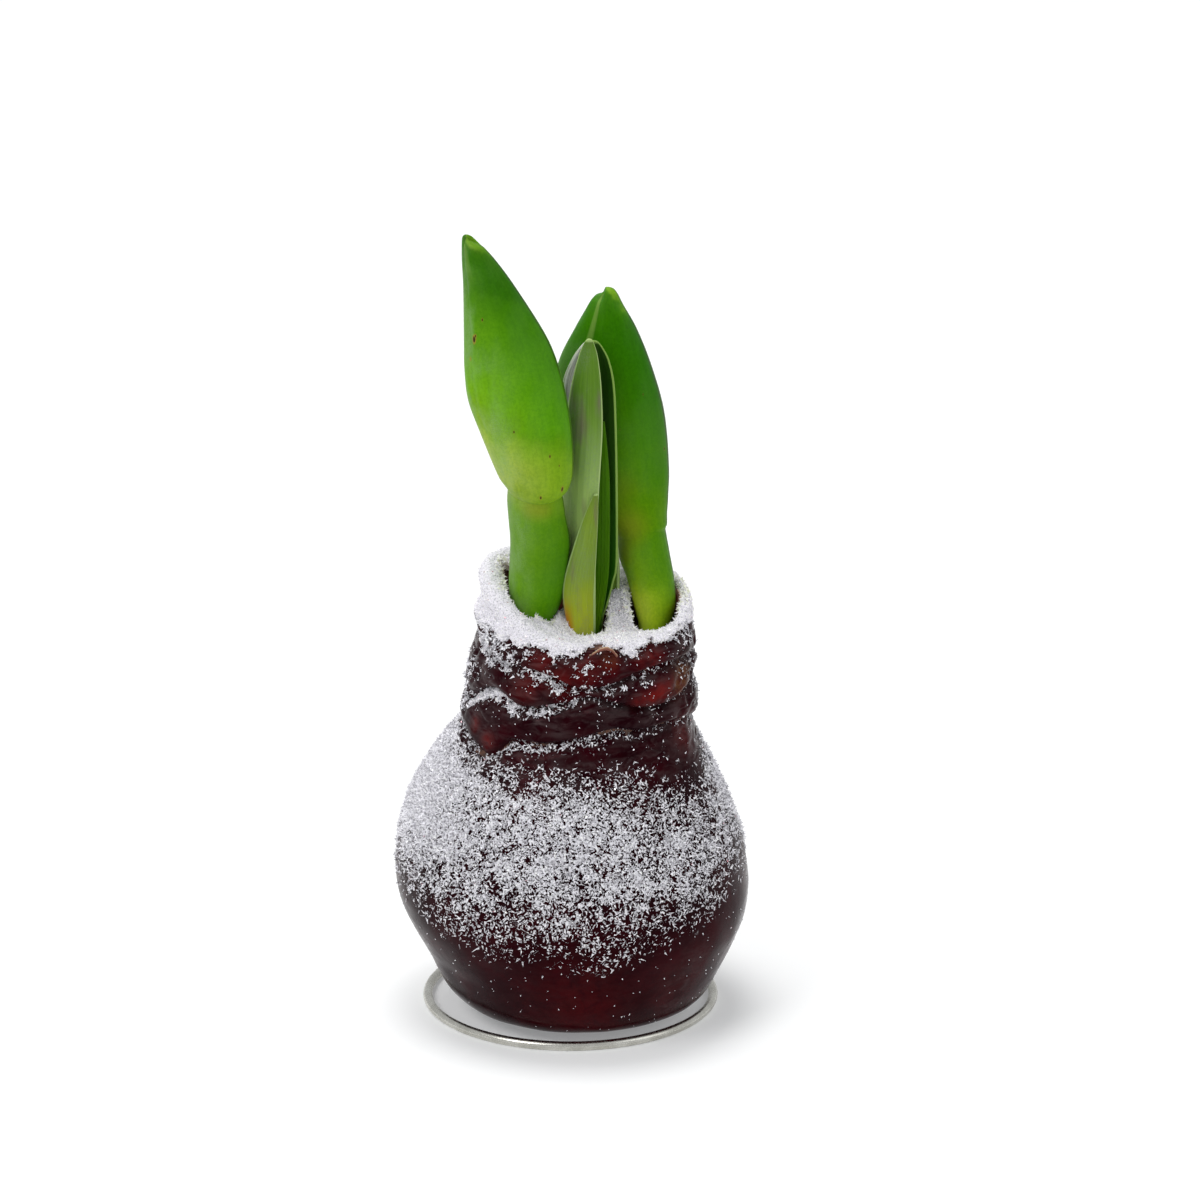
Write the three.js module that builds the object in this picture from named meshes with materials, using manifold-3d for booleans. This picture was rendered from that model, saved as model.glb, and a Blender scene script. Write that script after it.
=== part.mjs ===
// A waxed amaryllis bulb that stands on a bent-wire ring, with two flower buds and five leaves.
// Millimetres, +Z up. The origin is on the surface under the bulb, and -Y is the front.

import * as THREE from 'three';
import { mergeVertices } from 'three/addons/utils/BufferGeometryUtils.js';
import Module from 'manifold-3d';

const wasm = await Module();
wasm.setup();

// ---------------------------------------------------------------- driving dimensions

const BULB_WIDTH = 90;
const BASE_HEIGHT = 2.7;
const NECK_HEIGHT = 113.4;
const NECK_CENTRE_X = 3.9;

const WAX_THICKNESS = 1.5;
const CRUST_THICKNESS = 1.4;
const CRUST_BOTTOM = 106;
const MOUTH_RADIUS = 21.2;
const CLEARANCE = 0.3;
const SOCKET_BOTTOM = 93;

const WIRE_DIAMETER = 2.4;
const RING_RADIUS = 36.7;
const RING_CENTRE_Y = 2.5;
const SPIKE_TOP = 22;
const WIRE_BEND_RADIUS = 2.5;

const LEAF_THICKNESS = 1.3;
const LEAF_EDGE = 0.35;

// ---------------------------------------------------------------- the bulb's shape

// Half of the bulb's outline as radius and height, from the edge of the flat base, over the belly,
// the shoulder, the neck and its rounded rim, to the middle of the dished top.
const BULB_OUTLINE = [
  [24, BASE_HEIGHT],
  [29.5, 3.5],
  [33.6, 7.2],
  [38.7, 16],
  [43.7, 28],
  [BULB_WIDTH / 2, 38],
  [43.9, 47.5],
  [38.7, 61],
  [32.2, 73],
  [29.9, 79.5],
  [28.6, 92],
  [27.8, 103],
  [27.3, 108.8],
  [25.9, 112.2],
  [23.2, NECK_HEIGHT],
  [19.5, 112.5],
  [13, 110.5],
  [6, 109.6],
  [0, 109.4],
].map(([radius, height]) => new THREE.Vector2(radius, height));

const OUTLINE_STEPS = 28;
const AROUND = 30;

// The axis bows to the right towards both ends, and the base leans a little to the front.
const BOW_HEIGHT = 50;
const BOW_X = 2.9;
const BOW_Y = -2;

// The top of the neck slopes: it is higher at the left and at the back.
const SLOPE_X = -0.11;
const SLOPE_Y = 0.17;
const SLOPE_START = 82;

const smooth = (value) => THREE.MathUtils.smoothstep(value, 0, 1);

function bulbPoint(radius, height, angle) {
  const bow = (height - BOW_HEIGHT) / BOW_HEIGHT;
  const lump = 1 + 0.008 * Math.cos(2 * angle + 0.6) + 0.006 * Math.cos(3 * angle - 1.1);
  const x = BOW_X * bow * bow + radius * lump * Math.cos(angle);
  const y = (bow < 0 ? BOW_Y * bow * bow : 0) + radius * lump * Math.sin(angle);
  const slope = SLOPE_X * (x - NECK_CENTRE_X) + SLOPE_Y * y;
  const rise = smooth((height - SLOPE_START) / (NECK_HEIGHT - SLOPE_START));
  return new THREE.Vector3(x, y, height + slope * rise);
}

// The outline moved inwards, by a distance that may change with the height.
function insetOutline(inset) {
  const curve = new THREE.SplineCurve(BULB_OUTLINE);
  const points = curve.getPoints(OUTLINE_STEPS);
  return points.map((point, index) => {
    const before = points[Math.max(index - 1, 0)];
    const after = points[Math.min(index + 1, OUTLINE_STEPS)];
    const along = after.clone().sub(before).normalize();
    const distance = inset(point.y);
    const radius = index === OUTLINE_STEPS ? 0 : Math.max(point.x - distance * along.y, 0);
    return new THREE.Vector2(radius, point.y + distance * along.x);
  });
}

// ---------------------------------------------------------------- closed shapes from rings of points

// Skins a stack of rings, each a closed loop of the same number of points, and closes both ends
// with a fan. The rings go anticlockwise as seen from the far end of the stack.
function skin(rings) {
  const count = rings[0].length;
  const points = rings.flat();
  const faces = [];
  for (let row = 0; row + 1 < rings.length; row += 1) {
    for (let i = 0; i < count; i += 1) {
      const a = row * count + i;
      const b = row * count + ((i + 1) % count);
      faces.push(a, b, b + count, a, b + count, a + count);
    }
  }
  const start = points.push(middle(rings[0])) - 1;
  const end = points.push(middle(rings[rings.length - 1])) - 1;
  const last = (rings.length - 1) * count;
  for (let i = 0; i < count; i += 1) {
    const next = (i + 1) % count;
    faces.push(start, next, i);
    faces.push(end, last + i, last + next);
  }
  const geometry = new THREE.BufferGeometry().setFromPoints(points);
  geometry.setIndex(faces);
  return geometry;
}

function middle(ring) {
  const sum = ring.reduce((total, point) => total.add(point), new THREE.Vector3());
  return sum.divideScalar(ring.length);
}

function bulbSolid(inset, from = 0) {
  const outline = insetOutline(inset).filter((point) => point.x > 0 && point.y >= from);
  const rings = outline.map((point) => {
    const ring = [];
    for (let i = 0; i < AROUND; i += 1) {
      ring.push(bulbPoint(point.x, point.y, (2 * Math.PI * i) / AROUND));
    }
    return ring;
  });
  return solidOf(skin(rings));
}

// ---------------------------------------------------------------- joining and cutting

function solidOf(source) {
  const bare = source.clone();
  bare.deleteAttribute('normal');
  bare.deleteAttribute('uv');
  const merged = mergeVertices(bare, 1e-4);
  const vertProperties = new Float32Array(merged.attributes.position.array);
  const triVerts = new Uint32Array(merged.index.array);
  return new wasm.Manifold(new wasm.Mesh({ numProp: 3, vertProperties, triVerts }));
}

function geometryOf(solid) {
  const { vertProperties, triVerts } = solid.getMesh();
  const geometry = new THREE.BufferGeometry();
  geometry.setAttribute('position', new THREE.BufferAttribute(vertProperties, 3));
  geometry.setIndex(new THREE.BufferAttribute(triVerts, 1));
  geometry.computeVertexNormals();
  return geometry;
}

function cylinder(radius, bottom, top, x, y) {
  const shape = new THREE.CylinderGeometry(radius, radius, top - bottom, 36);
  shape.rotateX(Math.PI / 2);
  shape.translate(x, y, (top + bottom) / 2);
  return solidOf(shape);
}

function neckCylinder(radius, bottom) {
  return cylinder(radius, bottom, 2 * NECK_HEIGHT - bottom, NECK_CENTRE_X, 0);
}

// ---------------------------------------------------------------- stalks and buds

// A stalk or bud is a stack of ellipses. Each row is its height, the x of its left and right edges,
// the y of its middle, and its half depth.
const LEFT_STALK = [
  [93.0, -13.6, -0.2, -3.0, 6.0],
  [104.0, -14.9, -0.9, -3.8, 6.2],
  [112.0, -15.2, -0.9, -4.6, 6.3],
  [120.0, -14.9, -0.1, -5.4, 6.3],
  [127.0, -15.0, 0.1, -6.2, 6.2],
  [133.0, -15.4, -0.9, -7.1, 6.0],
  [138.2, -15.6, -2.0, -7.9, 5.8],
];

const LEFT_BUD = [
  [138.5, -14.2, -1.6, -8.3, 5.0],
  [139.2, -15.3, -0.4, -8.4, 6.0],
  [140.8, -15.9, 0.4, -8.5, 6.7],
  [146.1, -18.4, 0.9, -8.5, 7.3],
  [156.1, -22.4, 0.6, -8.5, 7.8],
  [164.4, -25.3, -0.6, -8.5, 7.7],
  [172.3, -26.2, -2.4, -8.4, 7.2],
  [181.1, -26.3, -5.8, -8.2, 6.2],
  [193.6, -26.4, -13.4, -7.9, 4.2],
  [200.5, -26.6, -18.1, -7.7, 2.9],
  [205.0, -26.6, -21.7, -7.6, 1.9],
  [207.0, -26.0, -24.2, -7.6, 1.0],
];

const RIGHT_STALK = [
  [93.0, 15.6, 25.2, 1.0, 5.0],
  [101.0, 16.2, 26.7, 2.4, 5.3],
  [107.4, 15.9, 26.9, 3.6, 5.5],
  [113.0, 14.6, 26.4, 4.9, 5.7],
  [118.5, 12.9, 25.4, 6.4, 5.9],
  [126.0, 11.5, 24.0, 8.6, 6.0],
];

const RIGHT_BUD = [
  [126.3, 11.7, 23.4, 8.9, 5.0],
  [127.2, 9.6, 24.0, 9.2, 6.0],
  [129.6, 4.8, 24.2, 9.7, 6.6],
  [133.2, 0.9, 24.8, 10.2, 7.0],
  [139.4, -2.5, 25.1, 10.7, 7.5],
  [150.0, -4.7, 24.5, 10.8, 7.9],
  [158.5, -4.9, 23.2, 10.8, 7.7],
  [169.0, -2.7, 20.1, 10.7, 6.7],
  [177.4, 1.3, 16.8, 10.6, 5.2],
  [183.5, 4.8, 13.3, 10.5, 3.3],
  [187.0, 7.3, 11.2, 10.5, 1.9],
  [188.1, 8.6, 10.4, 10.5, 0.9],
];

// A smooth run through rows of numbers, as many rows as steps + 1.
function smoothRows(rows, steps) {
  const last = rows.length - 1;
  return Array.from({ length: steps + 1 }, (_, step) => {
    const place = (step / steps) * last;
    const index = Math.min(Math.floor(place), last - 1);
    const near = [index - 1, index, index + 1, index + 2].map((i) => rows[THREE.MathUtils.clamp(i, 0, last)]);
    return near[0].map((_, column) => catmullRom(place - index, ...near.map((row) => row[column])));
  });
}

function catmullRom(t, before, from, to, after) {
  const leave = (to - before) / 2;
  const arrive = (after - from) / 2;
  return (
    (2 * from - 2 * to + leave + arrive) * t ** 3 +
    (3 * to - 3 * from - 2 * leave - arrive) * t ** 2 +
    leave * t +
    from
  );
}

function ellipses(rows, steps, around, grow = 0) {
  const rings = smoothRows(rows, steps).map(([height, left, right, y, depth]) => {
    const ring = [];
    for (let i = 0; i < around; i += 1) {
      const angle = (2 * Math.PI * i) / around;
      const x = (left + right) / 2 + ((right - left) / 2 + grow) * Math.cos(angle);
      ring.push(new THREE.Vector3(x, y + (depth + grow) * Math.sin(angle), height));
    }
    return ring;
  });
  return rings;
}

// A socket for a stalk: the stalk's own shape, wider and deeper by the gap given.
function stalkSocket(rows, gap) {
  const rings = ellipses(rows, 8, 18, gap);
  rings[0].forEach((point) => {
    point.z -= CLEARANCE;
  });
  return solidOf(skin(rings));
}

// ---------------------------------------------------------------- leaves

// A leaf is a curved strip between three rails: its left edge, its midrib and its right edge. Each
// row is a height, and then the x and y of each rail there.
const FRONT_LEAF = [
  [93.0, 1.0, -1.6, 3.6, -5.0, 6.3, -5.2],
  [108.0, 0.7, -1.2, 3.4, -5.5, 6.3, -5.7],
  [125.0, 1.2, -0.8, 3.4, -5.5, 6.4, -6.0],
  [140.0, -0.2, -1.3, 3.4, -5.9, 7.2, -5.8],
  [155.0, -0.7, -2.6, 4.0, -6.4, 8.0, -5.4],
  [166.0, 0.4, -3.2, 4.3, -6.2, 7.9, -5.1],
  [174.0, 1.6, -3.9, 4.5, -5.5, 7.1, -4.9],
  [177.4, 3.2, -4.5, 4.7, -5.0, 6.2, -4.8],
  [178.6, 4.4, -4.6, 4.9, -4.8, 5.4, -4.7],
];

const BACK_LEAF = [
  [93.0, 2.5, 1.2, 6.0, 1.6, 9.6, -1.4],
  [108.0, 1.8, 1.6, 6.0, 1.8, 10.8, -1.9],
  [120.0, 1.6, 1.8, 6.0, 2.0, 11.9, -2.2],
  [140.0, 0.0, 1.2, 5.4, 2.2, 11.9, -2.4],
  [156.0, -1.6, -0.2, 5.2, 2.0, 11.6, -2.4],
  [166.5, -1.2, -1.4, 5.2, 1.6, 11.1, -2.4],
  [172.8, 1.6, -2.0, 5.8, 0.2, 9.9, -2.2],
  [176.4, 4.0, -1.9, 6.1, -1.2, 8.3, -2.0],
  [177.6, 5.6, -1.8, 6.3, -1.7, 7.0, -1.9],
];

const INNER_LEAF = [
  [93.0, 4.4, -1.9, 6.6, -2.3, 8.4, -2.8],
  [104.0, 4.0, -1.9, 6.6, -2.3, 9.0, -3.0],
  [120.0, 3.6, -1.8, 6.8, -2.4, 9.9, -3.2],
  [140.0, 4.0, -2.0, 7.0, -2.6, 10.0, -3.4],
  [150.0, 5.5, -2.4, 7.4, -2.8, 9.4, -3.3],
  [157.0, 7.4, -2.8, 8.0, -2.9, 8.7, -3.1],
];

const OUTER_LEAF = [
  [93.0, 1.4, -7.2, 3.4, -8.6, 5.8, -7.4],
  [104.0, 0.4, -7.4, 3.2, -9.2, 6.0, -7.6],
  [112.0, -0.8, -7.6, 2.9, -9.4, 6.1, -7.8],
  [118.0, -0.6, -7.9, 3.2, -9.4, 6.4, -8.0],
  [127.0, 1.6, -8.2, 4.6, -9.1, 6.8, -8.1],
  [133.5, 3.6, -8.2, 5.4, -8.7, 6.9, -8.0],
  [139.6, 6.2, -7.8, 6.6, -7.9, 7.0, -7.8],
];

const SHEATH_LEAF = [
  [93.0, 4.6, 4.2, 7.6, 4.6, 10.6, 3.2],
  [105.0, 4.2, 4.4, 7.8, 5.0, 12.2, 3.3],
  [116.0, 4.6, 4.4, 8.2, 4.9, 12.4, 3.0],
  [121.5, 6.8, 4.2, 9.4, 4.2, 12.0, 2.7],
  [124.0, 9.4, 3.6, 10.3, 3.4, 11.2, 2.9],
];

const LEAF_STEPS = 14;
const LEAF_ACROSS = 6;

function leaf(rows, thickness = LEAF_THICKNESS) {
  const rings = smoothRows(rows, LEAF_STEPS).map(([height, leftX, leftY, midX, midY, rightX, rightY]) => {
    const rib = new THREE.QuadraticBezierCurve(
      new THREE.Vector2(leftX, leftY),
      new THREE.Vector2(2 * midX - (leftX + rightX) / 2, 2 * midY - (leftY + rightY) / 2),
      new THREE.Vector2(rightX, rightY),
    );
    const front = [];
    const back = [];
    for (let i = 0; i <= LEAF_ACROSS; i += 1) {
      const u = i / LEAF_ACROSS;
      const point = rib.getPoint(u);
      const along = rib.getTangent(u);
      const across = (2 * u - 1) ** 2;
      const half = (thickness / 2) * (1 - across) + LEAF_EDGE * across;
      front.push(new THREE.Vector3(point.x + half * along.y, point.y - half * along.x, height));
      back.unshift(new THREE.Vector3(point.x - half * along.y, point.y + half * along.x, height));
    }
    return [...front, ...back];
  });
  return skin(rings);
}

// One pocket, a rounded box that widens upwards, holds the feet of all the leaves. Each row is its
// height, its half width and its half depth.
const POCKET_X = 6.2;
const POCKET_Y = -2.1;
const POCKET_ROUNDNESS = 0.6;
const POCKET_CORNERS = 24;
const LEAF_POCKET = [
  [SOCKET_BOTTOM - CLEARANCE, 6.4, 8.8],
  [104, 7.1, 9.1],
  [130, 8.2, 9.4],
];

function leafPocket(gap) {
  const round = (value) => Math.sign(value) * Math.abs(value) ** POCKET_ROUNDNESS;
  const rings = LEAF_POCKET.map(([height, halfWidth, halfDepth]) => {
    const ring = [];
    for (let i = 0; i < POCKET_CORNERS; i += 1) {
      const angle = (2 * Math.PI * i) / POCKET_CORNERS;
      const x = POCKET_X + (halfWidth + gap) * round(Math.cos(angle));
      ring.push(new THREE.Vector3(x, POCKET_Y + (halfDepth + gap) * round(Math.sin(angle)), height));
    }
    return ring;
  });
  return solidOf(skin(rings));
}

// ---------------------------------------------------------------- the wire

// The wire runs round the ring, turns in to the middle along the surface, and turns up into the bulb.
function wirePath() {
  const level = WIRE_DIAMETER / 2;
  const onRing = (degrees) => {
    const angle = THREE.MathUtils.degToRad(degrees);
    const x = RING_RADIUS * Math.sin(angle);
    return new THREE.Vector3(x, RING_CENTRE_Y + RING_RADIUS * Math.cos(angle), level);
  };
  const path = new THREE.CurvePath();
  const turns = [];
  for (let degrees = 12; degrees <= 348; degrees += 12) {
    turns.push(onRing(degrees));
  }
  path.add(new THREE.CatmullRomCurve3(turns));
  const ringEnd = onRing(348);
  const armStart = new THREE.Vector3(0, ringEnd.y - 9, level);
  const corner = new THREE.Vector3(0, ringEnd.y + 1.6, level);
  path.add(new THREE.QuadraticBezierCurve3(ringEnd, corner, armStart));
  const foot = new THREE.Vector3(0, 0, level);
  const bendStart = new THREE.Vector3(0, WIRE_BEND_RADIUS, level);
  const bendEnd = new THREE.Vector3(0, 0, level + WIRE_BEND_RADIUS);
  path.add(new THREE.LineCurve3(armStart, bendStart));
  path.add(new THREE.QuadraticBezierCurve3(bendStart, foot, bendEnd));
  path.add(new THREE.LineCurve3(bendEnd, new THREE.Vector3(0, 0, SPIKE_TOP)));
  return path;
}

function wire() {
  const sides = 8;
  const corners = [];
  for (let i = 0; i < sides; i += 1) {
    const angle = (2 * Math.PI * (i + 0.5)) / sides;
    const reach = WIRE_DIAMETER / 2 / Math.cos(Math.PI / sides);
    corners.push(new THREE.Vector2(reach * Math.cos(angle), reach * Math.sin(angle)));
  }
  const section = new THREE.Shape(corners);
  return new THREE.ExtrudeGeometry(section, { steps: 90, extrudePath: wirePath(), bevelEnabled: false });
}

// ---------------------------------------------------------------- the layers of the bulb

const WAX_SHOULDER = 1;
const underCrust = CRUST_THICKNESS + CLEARANCE;

// How deep the wax lies under the bulb's outer shape: not at all, except beneath the crust.
function waxInset(height) {
  return underCrust * smooth((height - (CRUST_BOTTOM - 3 * WAX_SHOULDER)) / WAX_SHOULDER);
}

const crustOutside = bulbSolid(() => 0, CRUST_BOTTOM);
const waxShape = bulbSolid(waxInset);
const waxInside = bulbSolid((height) => waxInset(height) + WAX_THICKNESS);
const bulbShape = bulbSolid((height) => waxInset(height) + WAX_THICKNESS + CLEARANCE);
const underCrustShape = bulbSolid(() => underCrust);
const crustInside = bulbSolid(() => CRUST_THICKNESS);

// The wax leaves the mouth of the neck open, and the bulb fills it up to the crust.
const mouth = neckCylinder(MOUTH_RADIUS, CRUST_BOTTOM);
const mouthWithGap = neckCylinder(MOUTH_RADIUS + CLEARANCE, CRUST_BOTTOM - CLEARANCE);

// The spike's hole is narrow in the bulb, and wide in the wax where the wire bends.
const spikeHole = cylinder(WIRE_DIAMETER / 2 + CLEARANCE, 0, SPIKE_TOP + CLEARANCE, 0, 0);
const waxHole = cylinder(WIRE_DIAMETER, 0, SPIKE_TOP, 0, WIRE_DIAMETER / 4);

const sockets = wasm.Manifold.union([
  stalkSocket(LEFT_STALK, CLEARANCE),
  stalkSocket(RIGHT_STALK, CLEARANCE),
  leafPocket(0),
]);
const crustHoles = wasm.Manifold.union([
  stalkSocket(LEFT_STALK, 3 * CLEARANCE),
  stalkSocket(RIGHT_STALK, 3 * CLEARANCE),
  leafPocket(2 * CLEARANCE),
]);

const bulb = bulbShape.add(underCrustShape.intersect(mouth)).subtract(sockets).subtract(spikeHole);
const waxCoat = waxShape.subtract(waxInside).subtract(mouthWithGap).subtract(sockets).subtract(waxHole);
const snowCrust = crustOutside.subtract(crustInside).subtract(crustHoles);

// ---------------------------------------------------------------- the assembly

const part = new THREE.Group();
part.name = 'amaryllis_bulb';

function add(name, geometry, colour, roughness, metalness = 0) {
  const material = new THREE.MeshStandardMaterial({ color: colour, roughness, metalness });
  const mesh = new THREE.Mesh(geometry, material);
  mesh.name = name;
  part.add(mesh);
}

const WAX_RED = '#3a1014';
const SNOW = '#dcdbe2';
const SCALE_BROWN = '#7a4a30';
const STALK_GREEN = '#5f8a1c';
const BUD_GREEN = '#57901a';
const LEAF_GREEN = '#5f7c3c';
const LEAF_DARK = '#1f4410';
const WIRE_GREY = '#a3a098';

add('bulb', geometryOf(bulb), SCALE_BROWN, 0.7);
add('wax_coat', geometryOf(waxCoat), WAX_RED, 0.3);
add('snow_crust', geometryOf(snowCrust), SNOW, 0.9);
add('left_stalk', skin(ellipses(LEFT_STALK, 10, 24)), STALK_GREEN, 0.45);
add('left_bud', skin(ellipses(LEFT_BUD, 22, 26)), BUD_GREEN, 0.45);
add('right_stalk', skin(ellipses(RIGHT_STALK, 10, 24)), STALK_GREEN, 0.45);
add('right_bud', skin(ellipses(RIGHT_BUD, 20, 26)), BUD_GREEN, 0.45);
add('front_leaf', leaf(FRONT_LEAF), LEAF_GREEN, 0.5);
add('back_leaf', leaf(BACK_LEAF), LEAF_DARK, 0.5);
add('inner_leaf', leaf(INNER_LEAF, 1), LEAF_GREEN, 0.5);
add('outer_leaf', leaf(OUTER_LEAF), LEAF_GREEN, 0.5);
add('sheath_leaf', leaf(SHEATH_LEAF, 1), LEAF_GREEN, 0.5);
add('wire_stand', wire(), WIRE_GREY, 0.35, 1);

export default part;
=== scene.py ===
# A waxed amaryllis bulb on a wire ring: the finish of every surface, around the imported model.
# Lengths are millimetres until a mesh is made, and every mesh is made in metres.

import math

import bpy
import numpy as np
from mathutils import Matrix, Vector, noise


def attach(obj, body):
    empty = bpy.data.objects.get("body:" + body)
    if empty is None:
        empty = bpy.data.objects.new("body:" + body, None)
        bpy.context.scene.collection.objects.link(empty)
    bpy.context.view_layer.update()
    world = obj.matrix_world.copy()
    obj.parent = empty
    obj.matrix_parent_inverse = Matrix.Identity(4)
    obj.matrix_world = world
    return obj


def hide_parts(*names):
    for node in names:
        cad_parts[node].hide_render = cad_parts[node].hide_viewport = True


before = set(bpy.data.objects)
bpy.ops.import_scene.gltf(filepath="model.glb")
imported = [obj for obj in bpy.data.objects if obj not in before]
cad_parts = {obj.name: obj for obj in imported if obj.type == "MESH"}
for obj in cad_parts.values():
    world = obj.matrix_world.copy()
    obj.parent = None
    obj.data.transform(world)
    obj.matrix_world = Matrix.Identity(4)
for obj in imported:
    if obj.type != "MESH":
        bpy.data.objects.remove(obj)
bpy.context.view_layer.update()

MM = 0.001

# ---------------------------------------------------------------- camera, floor and light

CAMERA_LENS = 236.55
CAMERA_SENSOR = 36
CAMERA_PLACE = (7.6, -1886.4, 752.9)
CAMERA_BELOW_LEVEL = 18.8517
CAMERA_REACH_M = (0.05, 50)
FLOOR_SIDE = 12000
FLOOR_WHITE = (0.76, 0.76, 0.756)
FLOOR_SPECKLE = (0.7486, 0.7486, 0.74466)
FLOOR_GLOW = 0.24
SKY_WHITE = (0.97, 0.985, 1.0)
SKY_STRENGTH = 0.6
LIGHTS_AIM = (0, 0, 100)
# Each round light's name, place, width and power in watts.
LIGHTS = [
    ("overhead_light", (-200, 300, 1900), 1100, 20),
    ("key_light", (-1000, -1000, 1400), 900, 10.5),
    ("fill_light", (1300, -600, 900), 1100, 2.5),
]


def new_object(name, data):
    """An object for a mesh, a light or a camera, put in the scene."""
    thing = bpy.data.objects.new(name, data)
    bpy.context.scene.collection.objects.link(thing)
    return thing


def make_camera():
    data = bpy.data.cameras.new("camera")
    data.lens = CAMERA_LENS
    data.sensor_width = CAMERA_SENSOR
    data.clip_start, data.clip_end = CAMERA_REACH_M
    camera = new_object("camera", data)
    camera.location = [value * MM for value in CAMERA_PLACE]
    camera.rotation_euler = (math.radians(90 - CAMERA_BELOW_LEVEL), 0, 0)
    bpy.context.scene.camera = camera


def make_studio():
    half = FLOOR_SIDE / 2 * MM
    corners = [(-half, -half, 0), (half, -half, 0), (half, half, 0), (-half, half, 0)]
    mesh = bpy.data.meshes.new("floor")
    mesh.from_pydata(corners, [], [(0, 1, 2, 3)])
    mesh.materials.append(make_material("floor_paint", paint_floor))
    new_object("floor", mesh)

    world = bpy.data.worlds.new("soft_white")
    world.use_nodes = True
    sky = world.node_tree.nodes["Background"]
    sky.inputs["Color"].default_value = (*SKY_WHITE, 1)
    sky.inputs["Strength"].default_value = SKY_STRENGTH
    bpy.context.scene.world = world
    bpy.context.scene.view_settings.view_transform = "Standard"

    for name, place, width, power in LIGHTS:
        data = bpy.data.lights.new(name, "AREA")
        data.shape = "DISK"
        data.size = width * MM
        data.energy = power
        light = new_object(name, data)
        light.location = [value * MM for value in place]
        aim = Vector(LIGHTS_AIM) * MM - light.location
        light.rotation_euler = aim.to_track_quat("-Z", "Y").to_euler()


# ---------------------------------------------------------------- node trees in general


class Nodes:
    """The nodes of one tree. An input is given a value, or another node's output."""

    def __init__(self, tree):
        self.tree = tree

    def feed(self, socket, value):
        if isinstance(value, bpy.types.NodeSocket):
            self.tree.links.new(value, socket)
        elif socket.type == "RGBA" and len(value) == 3:
            socket.default_value = (*value, 1)
        else:
            socket.default_value = value

    def node(self, kind, inputs=None, **settings):
        node = self.tree.nodes.new(kind)
        for name, value in settings.items():
            setattr(node, name, value)
        for name, value in (inputs or {}).items():
            self.feed(node.inputs[name], value)
        return node

    def add(self, kind, inputs=None, output=0, **settings):
        """Adds a node and gives one of its outputs."""
        return self.node(kind, inputs, **settings).outputs[output]

    def math(self, operation, first, second=0.0, clamp=False):
        return self.add("ShaderNodeMath", {0: first, 1: second}, operation=operation, use_clamp=clamp)

    def times(self, first, second):
        return self.math("MULTIPLY", first, second)

    def vector(self, operation, first, second=(0, 0, 0), output="Vector"):
        return self.add("ShaderNodeVectorMath", {0: first, 1: second}, output, operation=operation)


class Paint(Nodes):
    """The nodes of one material, round its shader."""

    def __init__(self, material):
        material.use_nodes = True
        super().__init__(material.node_tree)
        self.shader = self.tree.nodes["Principled BSDF"]

    def place(self, scale=(1, 1, 1), shift=(0, 0, 0)):
        """The object's own coordinates in millimetres, stretched by a scale."""
        own = self.add("ShaderNodeTexCoord", output="Object")
        stretch = [value / MM for value in scale]
        return self.add("ShaderNodeMapping", {"Vector": own, "Scale": stretch, "Location": shift})

    def attribute(self, name, output="Fac"):
        return self.add("ShaderNodeAttribute", output=output, attribute_name=name)

    def noise(self, vector, size, detail=2.0, roughness=0.5, distortion=0.0):
        """Noise from 0 to 1 whose lumps are about size across, in the units of the vector."""
        inputs = {"Vector": vector, "Scale": 1 / size, "Detail": detail, "Roughness": roughness}
        return self.add("ShaderNodeTexNoise", {**inputs, "Distortion": distortion})

    def ease(self, value, start, end, low=0.0, high=1.0):
        """Goes smoothly from low to high as the value goes from start to end."""
        inputs = {"Value": value, "From Min": start, "From Max": end, "To Min": low, "To Max": high}
        return self.add("ShaderNodeMapRange", inputs, interpolation_type="SMOOTHSTEP")

    def patches(self, vector, grain, start, end, low=0.0, high=1.0):
        """Soft patches. The grain is the noise's size, detail, roughness and distortion."""
        return self.ease(self.noise(vector, *grain), start, end, low, high)

    def fibre(self):
        """A point's place in its stem or leaf: as a vector, and as that vector's three parts."""
        fibre = self.attribute("fibre", "Vector")
        return fibre, *self.node("ShaderNodeSeparateXYZ", {"Vector": fibre}).outputs

    def mix(self, amount, first, second, way="MIX"):
        """A colour between two, or the first multiplied by the second when the way says so."""
        inputs = {0: amount, 6: first, 7: second}
        return self.add("ShaderNodeMix", inputs, 2, data_type="RGBA", blend_type=way)

    def mix_values(self, amount, first, second):
        return self.add("ShaderNodeMix", {0: amount, 2: first, 3: second}, data_type="FLOAT")

    def finish(self, colour, roughness, others=None, relief=None):
        """Feeds the shader. Relief is a height, its distance in millimetres and its strength."""
        inputs = {"Base Color": colour, "Roughness": roughness, **(others or {})}
        if relief:
            height, distance, strength = relief
            bump = {"Height": height, "Distance": distance * MM, "Strength": strength}
            inputs["Normal"] = self.add("ShaderNodeBump", bump)
        for name, value in inputs.items():
            self.feed(self.shader.inputs[name], value)


def make_material(name, brush, *looks):
    """A material whose nodes are added by brush(paint, *looks)."""
    material = bpy.data.materials.new(name)
    brush(Paint(material), *looks)
    return material


def from_srgb(levels):
    """A linear colour from the 0 to 255 levels of a colour chip."""
    parts = [level / 255 for level in levels]
    return tuple(p / 12.92 if p <= 0.04045 else ((p + 0.055) / 1.055) ** 2.4 for p in parts)


def paint_floor(paint):
    speckle = paint.noise(paint.place(), 60)
    colour = paint.mix(speckle, FLOOR_WHITE, FLOOR_SPECKLE)
    glow = {"Emission Color": SKY_WHITE, "Emission Strength": FLOOR_GLOW}
    paint.finish(colour, 0.9, {"Specular IOR Level": 0.1, **glow})


# ---------------------------------------------------------------- curves and meshes in general


def smooth(value):
    clamped = np.clip(value, 0, 1)
    return clamped * clamped * (3 - 2 * clamped)


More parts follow.
